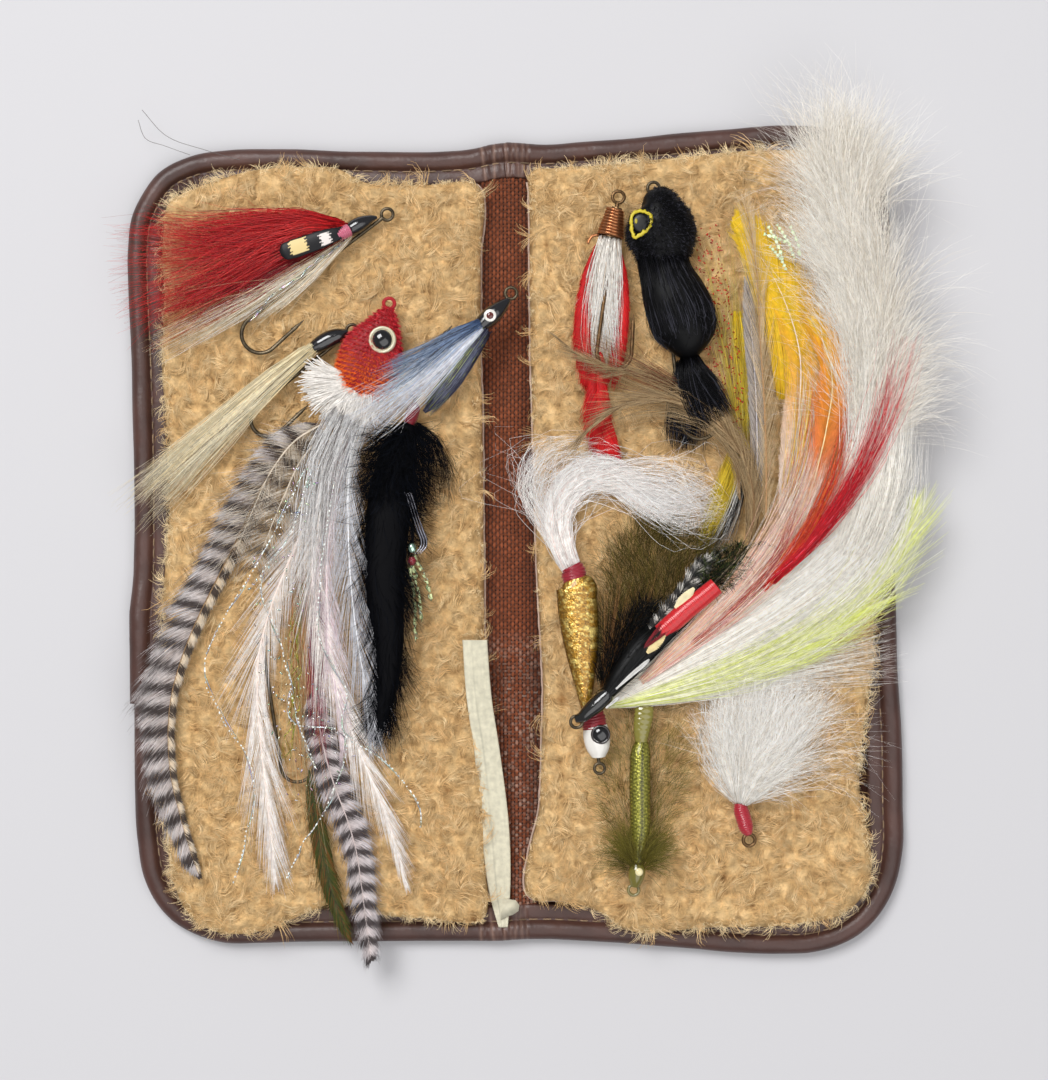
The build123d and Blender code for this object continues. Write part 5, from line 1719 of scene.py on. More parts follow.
# Clipped hair mouse
def mouse():
    base = "right_panel"
    shape = [
        (648, 196, 13.6, 16, 4), (655, 202, 14.2, 38, 7), (659, 216, 14.5, 60, 9),
        (661, 234, 14.5, 69, 9.4), (661, 250, 14.3, 60, 8.6), (660, 260, 14.2, 46, 7.6),
        (666, 276, 14.2, 54, 8), (674, 296, 14.4, 64, 8.6), (681, 315, 14.4, 66, 8.8),
        (686, 334, 14.4, 60, 8.4), (688, 348, 14, 38, 6.4), (689, 356, 13.4, 20, 4),
    ]

    # The grey row is painted highlight: grey-tipped hairs stand in for the sheen on the black hair
    ink = [(4, (7, 7, 9), (18, 18, 22)), (1.4, (30, 30, 36), (78, 78, 88)), (1, (3, 3, 4), (7, 7, 8))]
    with building("mouse.body", DARK_HAIR, base, "black_deer_hair", "mouse_body") as soup:
        body(soup, shape, (5, 5, 6))
        nap(soup, shape, 4600, 1.15, ink, thick=0.1, lean=0.15, span=(0, 0.4))
        hair(soup, shape, 2400, ink, thick=0.1, shell=True, start=(0.36, 0.8), end=(0.86, 1.0), wave=0.3,
             clumps=50, steps=8)
        nap(soup, shape, 160, 2.2, ink, thick=0.06, lean=0.8, span=(0, 0.9))

    pupil = spot(641, 223, 18.6)
    glint = spot(636, 221, 18.9)
    ring = [(634, 213), (644, 211), (652, 219), (650, 226), (643, 233), (635, 237), (631, 226)]
    with building("mouse.eye", surface("eye_paint", rough=0.4), base, "enamel_feather") as soup:
        path = spline([tuple(spot(a, b, 18.9)) for a, b in ring], 48, closed=True)[:, :3]
        path = np.concatenate([path, path[:2]])
        path[:, :2] += rng.normal(0, 0.1, (50, 2))
        tubes(soup, path[None], rng.uniform(0.28, 0.48, (1, 50)),
              np.broadcast_to(linear((206, 186, 40)), (1, 50, 3)), 8, 0.6)
        blob(soup, pupil, (1.9, 2.1, 0.3), linear((9, 9, 8)), rows=10, columns=30)
        blob(soup, glint, (0.32, 0.6, 0.12), linear((176, 160, 44)), rows=8, columns=16)

    tail = [
        (689, 354, 13.6, 16, 3), (692, 372, 14.6, 34, 3.4), (701, 394, 15.4, 48, 3.4),
        (718, 424, 15.2, 44, 2.8),
    ]
    under_tail = [
        (688, 360, 12.6, 24, 3), (687, 392, 12.4, 40, 3.2), (687, 420, 12.2, 50, 2.8),
        (686, 452, 11.8, 50, 1.8),
    ]
    with building("mouse.tail", DARK_HAIR, base, "black_deer_hair", "mouse_tail") as soup:
        hair(soup, tail, 900, ink, thick=0.1, clumps=30, wave=0.4, end=(0.7, 1.0))
        hair(soup, under_tail, 620, ink, thick=0.1, clumps=26, wave=0.3, end=(0.72, 1.0))


# Loose bright wings
def bright_wings():
    base = "right_panel"
    straw = [
        (4, (206, 176, 52), (226, 202, 84)), (2, (150, 130, 50), (190, 170, 84)),
        (1, (236, 222, 130), (240, 230, 160)),
    ]
    yellow = [(4, (230, 196, 34), (240, 216, 74)), (1, (200, 158, 26), (226, 190, 50))]
    straw_hairs = [
        (744, 444, 12, 16, 1.6), (740, 400, 12, 30, 2), (733, 340, 12, 48, 2.2), (724, 280, 12, 60, 2.4),
        (716, 228, 12, 60, 2.2),
    ]
    yellow_hairs = [
        (738, 310, 12, 10, 2), (742, 350, 12, 22, 2.2), (745, 400, 12, 22, 2), (742, 444, 12, 16, 1.6),
    ]
    low_hairs = [
        (742, 440, 11.6, 18, 2), (733, 470, 11.4, 26, 2), (718, 510, 11.2, 30, 2), (704, 556, 11, 26, 1.6),
    ]
    pied_hairs = [
        (746, 450, 12, 10, 2), (739, 490, 11.6, 14, 2), (724, 530, 11.4, 20, 2), (704, 562, 11.2, 22, 1.6),
    ]
    pied = [(1, (26, 24, 22), (50, 46, 42)), (1, (220, 216, 206), (236, 232, 224))]
    with building("yellow_wing.hair", HAIR, base, "yellow_hair", "yellow_wing") as soup:
        hair(soup, straw_hairs, 85, straw, thick=0.055, clumps=30, wave=1.4, stray=0.3, cling=0.2,
             end=(0.5, 1.03))
        hair(soup, yellow_hairs, 90, yellow, thick=0.06, clumps=20, wave=1.1, cling=0.3)
        hair(soup, low_hairs, 330, yellow, thick=0.065, clumps=20, wave=0.7, end=(0.6, 1.02))
        hair(soup, pied_hairs, 150, pied, thick=0.06, wave=0.7)

    sparks = [
        (708, 226, 13.6, 20, 2), (712, 290, 13.4, 34, 2), (722, 350, 12.8, 36, 2),
        (732, 430, 12.4, 26, 1.6),
    ]
    with building("yellow_wing.flash", GLITTER, base, "red_hair") as soup:
        specks(soup, sparks, 240, (226, 16, 34), 0.7, 0.13)

    # Wide dyed feathers: their roots pale, their tips orange and yellow
    gold = [(1, (246, 190, 34), (250, 208, 44))]
    long_feather = [
        (783, 520, 14.2, 6, 6), (790, 470, 14.8, 16, 16), (799, 410, 15.6, 24, 22),
        (799, 350, 16.2, 26, 24), (784, 300, 16.2, 22, 22), (764, 262, 15.8, 14, 17),
        (746, 238, 15.4, 6, 10), (733, 222, 15, 1, 2),
    ]
    short_feather = [
        (800, 530, 14.8, 6, 6), (814, 480, 15.6, 15, 15), (826, 430, 16.6, 20, 20),
        (832, 380, 17.4, 20, 20), (826, 348, 17.4, 14, 14), (812, 322, 17, 3, 3),
    ]
    tip_hairs = [
        (786, 400, 15.4, 20, 1.6), (784, 350, 16, 36, 1.6), (768, 290, 16, 40, 1.4),
        (746, 244, 15.6, 26, 1.2), (736, 222, 15.2, 10, 1),
    ]
    golds = [(3, (248, 200, 36), (252, 214, 60)), (1, (236, 180, 34), (246, 200, 44))]
    edge_hairs = [
        (790, 500, 14.6, 20, 1.4), (802, 440, 15.6, 34, 1.6), (806, 380, 16, 40, 1.4),
        (804, 330, 15.6, 30, 1),
    ]
    sunset = [
        (1.4, (236, 90, 40), (240, 130, 50)), (2, (248, 196, 50), (250, 210, 76)),
        (2, (248, 226, 204), (250, 236, 220)),
    ]
    sun = [
        (0, (244, 226, 214)), (0.2, (242, 208, 178)), (0.36, (244, 182, 84)), (0.5, (246, 188, 40)),
        (0.62, (248, 202, 40)), (1, (250, 208, 44)),
    ]
    ember = [
        (0, (240, 214, 196)), (0.3, (238, 132, 70)), (0.6, (244, 156, 44)), (0.85, (248, 188, 42)),
        (1, (250, 204, 56)),
    ]
    with building("orange_wing.feathers", FEATHER, base, "yellow_hair", "orange_wing") as soup:
        feather(soup, long_feather, gold, angle=(26, 20), split=0.1, vane=0.26, fade=sun,
                stem=(246, 226, 206), bend=0.1, ragged=(0.75, 1.1))
        feather(soup, short_feather, gold, angle=(26, 18), split=0.14, vane=0.24, fade=ember,
                stem=(244, 226, 170), bend=0.1, ragged=(0.7, 1.2))
        hair(soup, tip_hairs, 260, golds, thick=0.07, wave=0.3, clumps=30, end=(0.7, 1.0))
        hair(soup, edge_hairs, 190, sunset, thick=0.05, wave=0.8, clumps=26)

    tan = [(3, (218, 188, 144), (230, 206, 168)), (1, (196, 160, 114), (214, 186, 144))]
    tan_feather = [
        (766, 520, 14.6, 6, 6), (766, 460, 15.4, 12, 12), (764, 400, 16.4, 14, 14),
        (760, 340, 17.2, 15, 15), (757, 280, 17.2, 14, 15), (751, 232, 16.6, 11, 11), (744, 198, 16, 3, 3),
    ]
    with building("orange_wing.hackle", FEATHER, base, "brown_feather") as soup:
        feather(soup, tan_feather, tan, spacing=0.42, thick=0.04, angle=(20, 12), split=0.16, vane=0,
                stem=(176, 136, 92), bend=0.1, ragged=(0.6, 1.2))

    lilac = [(2, (166, 154, 146), (196, 186, 178)), (1, (120, 110, 102), (156, 146, 138))]
    grey_feather = [
        (756, 520, 13.4, 5, 5), (757, 460, 13.4, 9, 9), (756, 400, 13.4, 10, 10), (752, 340, 13.4, 9, 9),
        (747, 284, 13.2, 3, 3),
    ]
    with building("orange_wing.grey", FEATHER, base, "grizzly_feather") as soup:
        feather(soup, grey_feather, lilac, spacing=0.17, thick=0.055, angle=(24, 14), vane=0.2,
                stem=(210, 204, 206))


# Curved brown hackles
def brown_hackles():
    base = "right_panel"
    khaki = [
        (3, (166, 138, 98), (196, 170, 130)), (2, (128, 100, 66), (160, 132, 92)),
        (1, (104, 78, 50), (136, 108, 72)),
    ]
    fine = dict(spacing=0.155, thick=0.05, split=0.25, bend=0.1, vane=0, ragged=(0.4, 1.15), droop=0.6)
    outer = [
        (749, 545, 15, 8, 8), (754, 510, 15.2, 13, 12), (748, 470, 15.4, 17, 14), (727, 432, 15.4, 19, 15),
        (700, 409, 15.4, 19, 15), (665, 398, 15.4, 18, 14), (627, 403, 15.2, 16, 12), (598, 420, 15, 12, 9),
        (576, 442, 14.8, 4, 4),
    ]
    inner = [
        (740, 500, 15, 5, 5), (736, 462, 14.4, 9, 9), (716, 424, 13, 12, 11), (690, 395, 12.4, 13, 11),
        (655, 375, 12.8, 12, 10), (612, 368, 14.4, 10, 9), (584, 358, 15, 9, 8), (556, 336, 15.2, 3, 3),
    ]
    with building("brown_hackle.feathers", FEATHER, base, "brown_feather", "brown_hackle_outer",
                  "brown_hackle_inner") as soup:
        feather(soup, outer, khaki, angle=(15, 9), stem=(120, 90, 56), **fine)
        feather(soup, inner, khaki, angle=(14, 9), stem=(120, 90, 56), **fine)

    arc = [
        (750, 540, 14.6, 10, 1.4), (754, 500, 14.8, 18, 1.6), (742, 455, 15, 26, 1.6),
        (712, 418, 15, 32, 1.6), (672, 402, 15, 34, 1.4), (630, 408, 14.8, 36, 1.2),
        (590, 424, 14.6, 44, 1),
    ]
    inner_hairs = [
        (690, 396, 13, 20, 1.2), (640, 376, 13.6, 40, 1.2), (590, 356, 14.6, 56, 1),
        (556, 346, 14.8, 64, 0.8),
    ]
    russet = [(2.5, (112, 52, 40), (146, 74, 54))]
    with building("brown_hackle.fibres", SOFT_HAIR, base, "brown_feather") as soup:
        hair(soup, arc, 150, khaki, thick=0.05, clumps=20, wave=1.2, steps=14, stray=0.2, cling=0.3)
        hair(soup, inner_hairs, 90, khaki + russet, thick=0.045, clumps=16, wave=1.2, steps=10, cling=0.3)


# Tube fly
def tube_fly():
    base = "right_panel"
    white = [(5, (246, 240, 234), (253, 251, 248)), (1, (214, 190, 182), (238, 226, 220))]
    swept_lock = [
        (573, 571, 12.4, 20, 3), (563, 548, 12.4, 26, 3.2), (558, 520, 12.6, 32, 3),
        (565, 494, 12.8, 34, 2.6), (583, 477, 13, 36, 2.4), (608, 474, 13.2, 38, 2.2),
        (636, 490, 13.2, 40, 2), (670, 503, 13.2, 42, 1.8), (712, 494, 13, 52, 1.4),
    ]
    thin_lock = [
        (568, 560, 12, 16, 2), (546, 520, 12.2, 30, 2), (532, 484, 12.4, 40, 2), (548, 452, 12.6, 40, 1.6),
        (590, 448, 12.8, 40, 1.4),
    ]
    top_lock = [
        (600, 480, 14, 30, 2), (640, 474, 14, 44, 2), (690, 484, 14, 56, 1.6), (722, 508, 13.6, 50, 1.2),
    ]
    with building("tube_fly.hair", PALE_HAIR, base, "white_hair", "tube_fly_hair") as soup:
        hair(soup, swept_lock, 1250, white, thick=0.06, clumps=34, wave=2.4, steps=26, end=(0.35, 1.04),
             stray=0.16, crimp=0.3, cling=0.75)
        hair(soup, thin_lock, 150, white, thick=0.045, clumps=16, wave=3.0, steps=22, stray=0.3, crimp=0.4)
        hair(soup, top_lock, 120, white, thick=0.05, clumps=20, wave=2.0, steps=20, stray=0.2, crimp=0.3)

    front_wrap = [
        (571, 566, 12.2, 20, 4), (573, 570, 12.2, 24, 4.6), (574, 576, 12.3, 25, 4.8),
        (575, 581, 12.3, 23, 4.6),
    ]
    rear_wrap = [
        (589, 712, 11.8, 20, 3.6), (592, 716, 11.9, 24, 4), (594, 724, 12, 25, 4.2), (595, 730, 12, 23, 4),
    ]
    with building("tube_fly.thread", FLOSS, base, "red_thread") as soup:
        body(soup, front_wrap, (150, 24, 44), ribs=0.04, pitch=0.55)
        body(soup, rear_wrap, (142, 22, 36), ribs=0.04, pitch=0.55)

    def gold(place, s, a, shade):
        grit = ripple(place[..., 0] + place[..., 2], place[..., 1], 0.55, 91)
        speck = np.clip(grit * 1.5, 0, 1)[..., None]
        # Painted shade: the tube darkens toward its sides
        edge = (np.abs(a) ** 3)[..., None]
        dark, light = linear((178, 130, 40)), linear((244, 214, 120))
        shade = dark + (light - dark) * speck
        return shade * (1 - 0.7 * edge)

    tube = [
        (574, 579, 12.3, 24, 4.4), (576, 584, 12.4, 36, 5.2), (577, 600, 12.4, 40, 5.4),
        (579, 620, 12.3, 39.5, 5.2), (582, 652, 12.2, 33, 4.8), (584, 680, 12, 22, 4.2),
        (586, 702, 11.9, 14, 3.6), (589, 714, 11.8, 13, 3.2),
    ]
    with building("tube_fly.body", GLITTER, base, "amber_resin", "tube_fly_body") as soup:
        body(soup, tube, (190, 140, 60), rings=180, sides=56, colour=gold)

    head = [
        (593, 722, 12, 20, 3.6), (595, 728, 12, 25, 4.2), (597, 740, 12, 26.5, 4.4),
        (598, 750, 11.9, 22, 4), (598.5, 757, 11.8, 14, 3.2),
    ]
    with building("tube_fly.head", LACQUER, base, "white_enamel", "tube_fly_head") as soup:
        body(soup, head, (232, 228, 220))

    with building("tube_fly.eye", LACQUER, base, "black_lacquer") as soup:
        eye = spot(600.5, 734.5, 13.9)
        hoop(soup, eye, 1.95, 0.34, linear((36, 26, 24)))
        blob(soup, eye, (1.85, 1.85, 0.8), linear((8, 8, 10)), rows=18, columns=34)


# Large deceiver
def deceiver():
    base = "right_panel"
    head = [
        (575, 719, 15.7, 8, 2), (581, 717.5, 15.8, 11, 3), (589, 711, 15.9, 15, 4), (599, 702, 16, 18, 4.4),
        (606, 695, 16, 17, 4.4), (610, 690, 16, 12, 3.8),
    ]
    with building("deceiver.head", LACQUER, base, "black_lacquer", "deceiver_head") as soup:
        body(soup, head, (22, 22, 20))

    def crossed(place, s, a, shade):
        wrap = np.sin(s * 46 + a * 7) * np.sin(s * 46 - a * 7)
        return np.clip(shade * (0.94 + 0.12 * np.clip(wrap, -0.5, 1))[..., None], 0, 1)

    floss = [
        (661, 633, 17.2, 18.5, 3.2), (675, 620.5, 17.4, 19.5, 3.5), (689, 608, 17.4, 19.5, 3.6),
        (703, 597, 17.2, 19, 3.5), (716, 586, 17, 18, 3.2),
    ]
    with building("deceiver.floss", FLOSS, base, "red_floss") as soup:
        body(soup, floss, (206, 14, 24), sides=40, rings=120, ribs=0.015, pitch=0.5, colour=crossed)

    ink = [(6, (5, 5, 6), (11, 11, 12)), (1, (14, 17, 11), (26, 29, 19))]
    shape = [
        (607, 694, 16, 14, 4), (620, 676, 16.2, 22, 4.4), (640, 652, 16.2, 28, 4.2),
        (658, 634, 15.8, 26, 3.4), (684, 610, 15.6, 20, 2.8), (708, 588, 15.4, 14, 2.2),
    ]
    throat_fur = [
        (604, 690, 15, 18, 3), (618, 660, 15.2, 34, 3.4), (634, 632, 15.2, 40, 3), (654, 612, 15, 30, 2.4),
    ]
    with building("deceiver.body", DARK_HAIR, base, "black_deer_hair", "deceiver_body") as soup:
        body(soup, shape, (9, 9, 9))
        hair(soup, shape, 700, ink, thick=0.08, shell=True, start=(0, 0.6), end=(0.5, 1.0), wave=0.3,
             steps=7)
        fur(soup, throat_fur, 1300, 5, ink, thick=0.075, splay=1.0, curl=0.6, rise=0.3)

    herl = [
        (3, (22, 26, 18), (44, 54, 34)), (1, (66, 80, 40), (112, 124, 66)), (2, (8, 9, 8), (22, 24, 20)),
    ]
    herl_tuft = [
        (698, 592, 15.6, 26, 3), (712, 578, 15.8, 40, 4), (728, 566, 15.6, 42, 4), (746, 554, 15.2, 30, 3),
    ]
    herl_hairs = [(716, 580, 15.4, 18, 2), (740, 560, 15, 30, 2), (764, 540, 14.6, 22, 1.4)]
    ash = [(1, (60, 56, 50), (120, 114, 100))]
    with building("deceiver.herl", DARK_FUR, base, "black_deer_hair") as soup:
        fur(soup, herl_tuft, 1700, 2.6, herl, thick=0.065, splay=1.5, curl=2.2)
        hair(soup, herl_hairs, 70, ash, thick=0.05, wave=0.3)

    bristle = [(2, (120, 82, 44), (156, 112, 62)), (1, (90, 58, 30), (130, 88, 48))]
    bristles = [
        (603, 690, 14.6, 8, 1.6), (614, 650, 14.8, 26, 2), (624, 610, 14.6, 52, 2),
        (634, 560, 14.2, 76, 1.6),
    ]
    with building("deceiver.bristles", HAIR, base, "brown_feather") as soup:
        hair(soup, bristles, 70, bristle, thick=0.05, wave=0.3, clumps=30, cling=0.1, end=(0.5, 1.0),
             steps=6)

    # Spotted feathers along the body
    pied = [
        (2, (30, 28, 26), (60, 56, 52)), (3, (206, 200, 190), (232, 228, 220)),
        (1, (120, 112, 104), (170, 160, 150)),
    ]
    spotted = [
        (646, 640, 16.6, 5, 8), (662, 616, 16.8, 8, 13), (680, 594, 16.8, 8, 14), (696, 572, 16.6, 7, 12),
        (708, 556, 16.2, 3, 3),
    ]
    with building("deceiver.pied", FEATHER, base, "grizzly_feather") as soup:
        feather(soup, spotted, pied, bars=(3.1, (18, 17, 17), 0.2), angle=(54, 30), vane=0.16, split=0.5,
                fluff=0.25, ragged=(0.5, 1.4))

    rust = [(1, (110, 22, 30), (150, 34, 42))]
    dark_cheek = [
        (606, 698, 17.6, 5, 5), (622, 680, 18, 9, 9), (640, 660, 18.2, 10, 10), (658, 641, 18.2, 9, 9),
        (668, 630, 18, 4, 4),
    ]
    rust_patch = [(644, 648, 18.4, 4, 4), (650, 642, 18.6, 7, 7), (658, 634, 18.4, 3, 3)]
    lower_patch = [
        (647, 653, 18.5, 3, 0.5), (652, 648, 18.6, 9, 0.7), (659, 640, 18.6, 10, 0.7),
        (665, 633, 18.4, 4, 0.5),
    ]
    white_dash = [
        (616, 689, 18.4, 1, 1), (628, 678, 18.6, 2.6, 2.6), (644, 664, 18.6, 2, 2),
        (648, 660, 18.5, 0.6, 0.6),
    ]
    eye_dash = [(606, 708, 17.9, 1, 1), (611, 704, 18, 2, 2), (618, 698, 17.9, 0.8, 0.8)]
    upper_patch = [
        (675, 608, 18.1, 3, 0.5), (681, 602, 18.2, 9, 0.7), (688, 595, 18.2, 9, 0.7),
        (694, 588, 18, 3, 0.5),
    ]
    with building("deceiver.cheeks", FEATHER, base, "enamel_feather") as soup:
        dark, snow = [(1, (9, 9, 10), (14, 14, 15))], [(1, (226, 224, 220), (240, 238, 234))]
        flat = dict(spacing=0.11, thick=0.05, angle=(24, 14), split=0.03, vane=0.18, ragged=(0.9, 1.02),
                    droop=0.1)
        feather(soup, dark_cheek, dark, **flat)
        feather(soup, rust_patch, rust, **flat)
        body(soup, lower_patch, (228, 206, 150), ribs=0.06, pitch=0.5)
        feather(soup, white_dash, snow, **flat)
        feather(soup, eye_dash, snow, **flat)
        body(soup, upper_patch, (232, 218, 176), ribs=0.06, pitch=0.5)

    lime = [
        (3, (232, 234, 160), (238, 240, 176)), (3, (246, 244, 216), (250, 248, 232)),
        (2, (212, 222, 100), (226, 232, 128)),
    ]
    snowy = [(5, (244, 238, 226), (252, 250, 244)), (1, (222, 210, 190), (240, 232, 218))]
    lime_wing = [
        (606, 705, 13.6, 8, 2), (650, 693, 13.8, 24, 2.4), (705, 676, 13.8, 44, 2.6),
        (770, 648, 13.6, 64, 2.6), (830, 610, 13.4, 84, 2.4), (880, 556, 13, 86, 2),
        (908, 504, 12.6, 64, 1.4),
    ]
    lime_feather = [
        (640, 693, 13.9, 5, 8), (700, 680, 14, 10, 18), (760, 660, 13.8, 16, 24), (820, 632, 13.6, 18, 26),
        (866, 594, 13.2, 18, 26), (900, 546, 12.8, 14, 20), (915, 500, 12.6, 4, 4),
    ]
    lime_barbs = [(3, (224, 232, 110), (234, 240, 140)), (1, (240, 242, 196), (244, 246, 214))]
    with building("deceiver.chartreuse", PALE_HAIR, base, "chartreuse_hair",
                  "deceiver_chartreuse_wing") as soup:
        hair(soup, lime_wing, 1150, lime, thick=0.06, clumps=60, wave=1.1, steps=14, end=(0.5, 1.03),
             stray=0.1)
        feather(soup, lime_feather, lime_barbs, spacing=0.2, thick=0.055, angle=(20, 14), split=0.2, vane=0,
                ragged=(0.5, 1.25), stem=(240, 240, 190))

    low_wing = [
        (612, 704, 12.8, 10, 2), (680, 690, 13, 30, 2.2), (760, 672, 12.8, 52, 2.2),
        (830, 656, 12.6, 80, 2), (900, 640, 12.4, 110, 1.6),
    ]
    main_wing = [
        (612, 700, 14, 10, 2), (655, 672, 14.2, 34, 2), (715, 636, 14.2, 54, 2), (780, 590, 14.2, 80, 2.2),
        (840, 534, 14.2, 100, 2.4), (876, 470, 14.2, 96, 2.2), (884, 400, 14, 70, 1.8),
    ]
    outer_wing = [
        (700, 655, 13.6, 30, 2), (780, 618, 13.6, 70, 2.2), (850, 560, 13.6, 100, 2.4),
        (892, 490, 13.6, 90, 2.2), (902, 430, 13.4, 60, 1.6),
    ]
    with building("deceiver.white", PALE_HAIR, base, "white_hair", "deceiver_white_wing") as soup:
        hair(soup, low_wing, 520, snowy, thick=0.055, clumps=30, wave=1.6, steps=12, end=(0.4, 1.02),
             stray=0.15)
        hair(soup, main_wing, 1500, snowy, thick=0.062, clumps=60, wave=1.1, steps=14, end=(0.45, 1.03))
        hair(soup, outer_wing, 1000, snowy, thick=0.062, clumps=50, wave=1.4, steps=12, end=(0.5, 1.05))

    red = [
        (3, (214, 10, 28), (232, 26, 44)), (1, (176, 8, 26), (212, 22, 40)),
        (0.6, (226, 60, 90), (232, 110, 130)),
    ]
    ember = [(2, (226, 70, 30), (236, 110, 40)), (1, (206, 20, 30), (222, 40, 44))]
    red_wing = [
        (770, 582, 16.2, 10, 1.2), (800, 554, 16.6, 16, 1.6), (836, 512, 16.9, 26, 1.8),
        (866, 462, 18, 36, 1.6), (888, 408, 19, 52, 1.2), (905, 340, 19.6, 66, 0.8),
    ]
    red_root = [
        (770, 582, 16.3, 10, 1.2), (800, 554, 16.7, 16, 1.6), (836, 512, 16.9, 22, 1.8),
        (866, 462, 17.6, 26, 1.6),
    ]
    ember_wing = [
        (762, 590, 16.2, 8, 1.2), (796, 548, 16.6, 16, 1.6), (826, 500, 16.8, 24, 1.8),
        (846, 450, 16.8, 34, 1.6), (858, 400, 16.6, 40, 1.2),
    ]
    with building("deceiver.red", FEATHER, base, "red_hair") as soup:
        hair(soup, red_wing, 100, red, thick=0.066, clumps=26, wave=0.9, steps=14, end=(0.6, 1.04),
             cling=0.6, stray=0.14)
        hair(soup, red_root, 170, red, thick=0.064, clumps=16, wave=0.5, end=(0.45, 1.0), cling=0.7)
        hair(soup, ember_wing, 130, ember, thick=0.06, clumps=12, wave=0.7, steps=12, end=(0.5, 1.03),
             cling=0.8, stray=0.12)

    blush = [
        (3, (246, 228, 214), (250, 238, 226)), (1, (226, 160, 140), (236, 186, 166)),
        (1, (222, 130, 130), (232, 170, 166)), (1.2, (236, 190, 140), (242, 206, 160)),
    ]
    blush_wing = [
        (640, 682, 15.2, 8, 1.4), (680, 648, 15.6, 22, 1.6), (730, 604, 16, 40, 1.8),
        (778, 548, 16.2, 58, 2), (812, 480, 16.2, 64, 1.8), (826, 420, 16, 60, 1.4),
    ]
    plum_streaks = [
        (690, 644, 15.8, 14, 1.2), (740, 602, 16.2, 22, 1.4), (784, 546, 16.6, 26, 1.6),
        (800, 500, 16.8, 30, 1.4),
    ]
    plum = [(1, (150, 26, 56), (170, 50, 70)), (1, (176, 80, 60), (200, 110, 80))]
    with building("deceiver.blush", PALE_HAIR, base, "white_hair") as soup:
        hair(soup, blush_wing, 640, blush, thick=0.055, clumps=30, wave=0.9, steps=14, end=(0.35, 1.02),
             stray=0.12)
        hair(soup, plum_streaks, 110, plum, thick=0.05, clumps=12, wave=0.6, steps=10)


# Long white fur
def white_fur():
    base = "right_panel"
    white = [(5, (236, 229, 216), (250, 247, 240)), (2, (212, 200, 182), (236, 228, 214))]
    strip = [
        (868, 446, 15.4, 30, 3), (872, 400, 16.6, 54, 4), (868, 340, 17.2, 66, 5),
        (860, 276, 17.4, 66, 5.6), (848, 210, 17.2, 60, 5.6), (838, 156, 16.8, 48, 4.6),
        (832, 120, 16.4, 26, 3),
    ]
    for n in range(2):
        with building(f"white_fur.{n}", PALE_FUR, base, "white_hair", "white_fur") as soup:
            fur(soup, strip, 4200, 19, white, thick=0.04, splay=0.5, core=(0, 0.86), rise=0.18, curl=0.8,
                steps=8, flow=0.55)

    long_hairs = [
        (846, 560, 14.6, 50, 2), (866, 500, 15.6, 70, 2.4), (876, 440, 16.6, 80, 3),
        (874, 370, 17.6, 84, 3.4), (866, 290, 17.6, 80, 3),
    ]
    bright = [(1, (246, 240, 228), (252, 250, 244))]
    with building("white_fur.wisps", PALE_FUR, base, "white_hair") as soup:
        fur(soup, strip, 2400, 23, white, thick=0.03, splay=0.9, core=(0, 0.94), rise=0.14, curl=1.2,
            steps=9, flow=0.7, spread=1.0)
        hair(soup, long_hairs, 620, bright, thick=0.045, clumps=36, wave=1.4, steps=11, start=(0, 0.3),
             end=(0.5, 1.0), stray=0.1)

    blades = [
        ((768, 226), (783, 262)), ((777, 224), (794, 258)), ((790, 226), (800, 256)),
        ((764, 234), (790, 244)), ((770, 246), (786, 270)),
    ]
    # Tinsel blades in the glowing glint finish: their brightness is a painted glint
    with building("white_fur.flash", GLINT, base, "scale_tinsel") as soup:
        for start, end in blades:
            middle = ((start[0] + end[0]) / 2 + 2, (start[1] + end[1]) / 2)
            flash(soup, [[(*start, 17.2), (*middle, 17.6), (*end, 17)]], (226, 240, 196), width=0.42,
                  wiggle=0.04, repeat=1, sparkle=0.15)


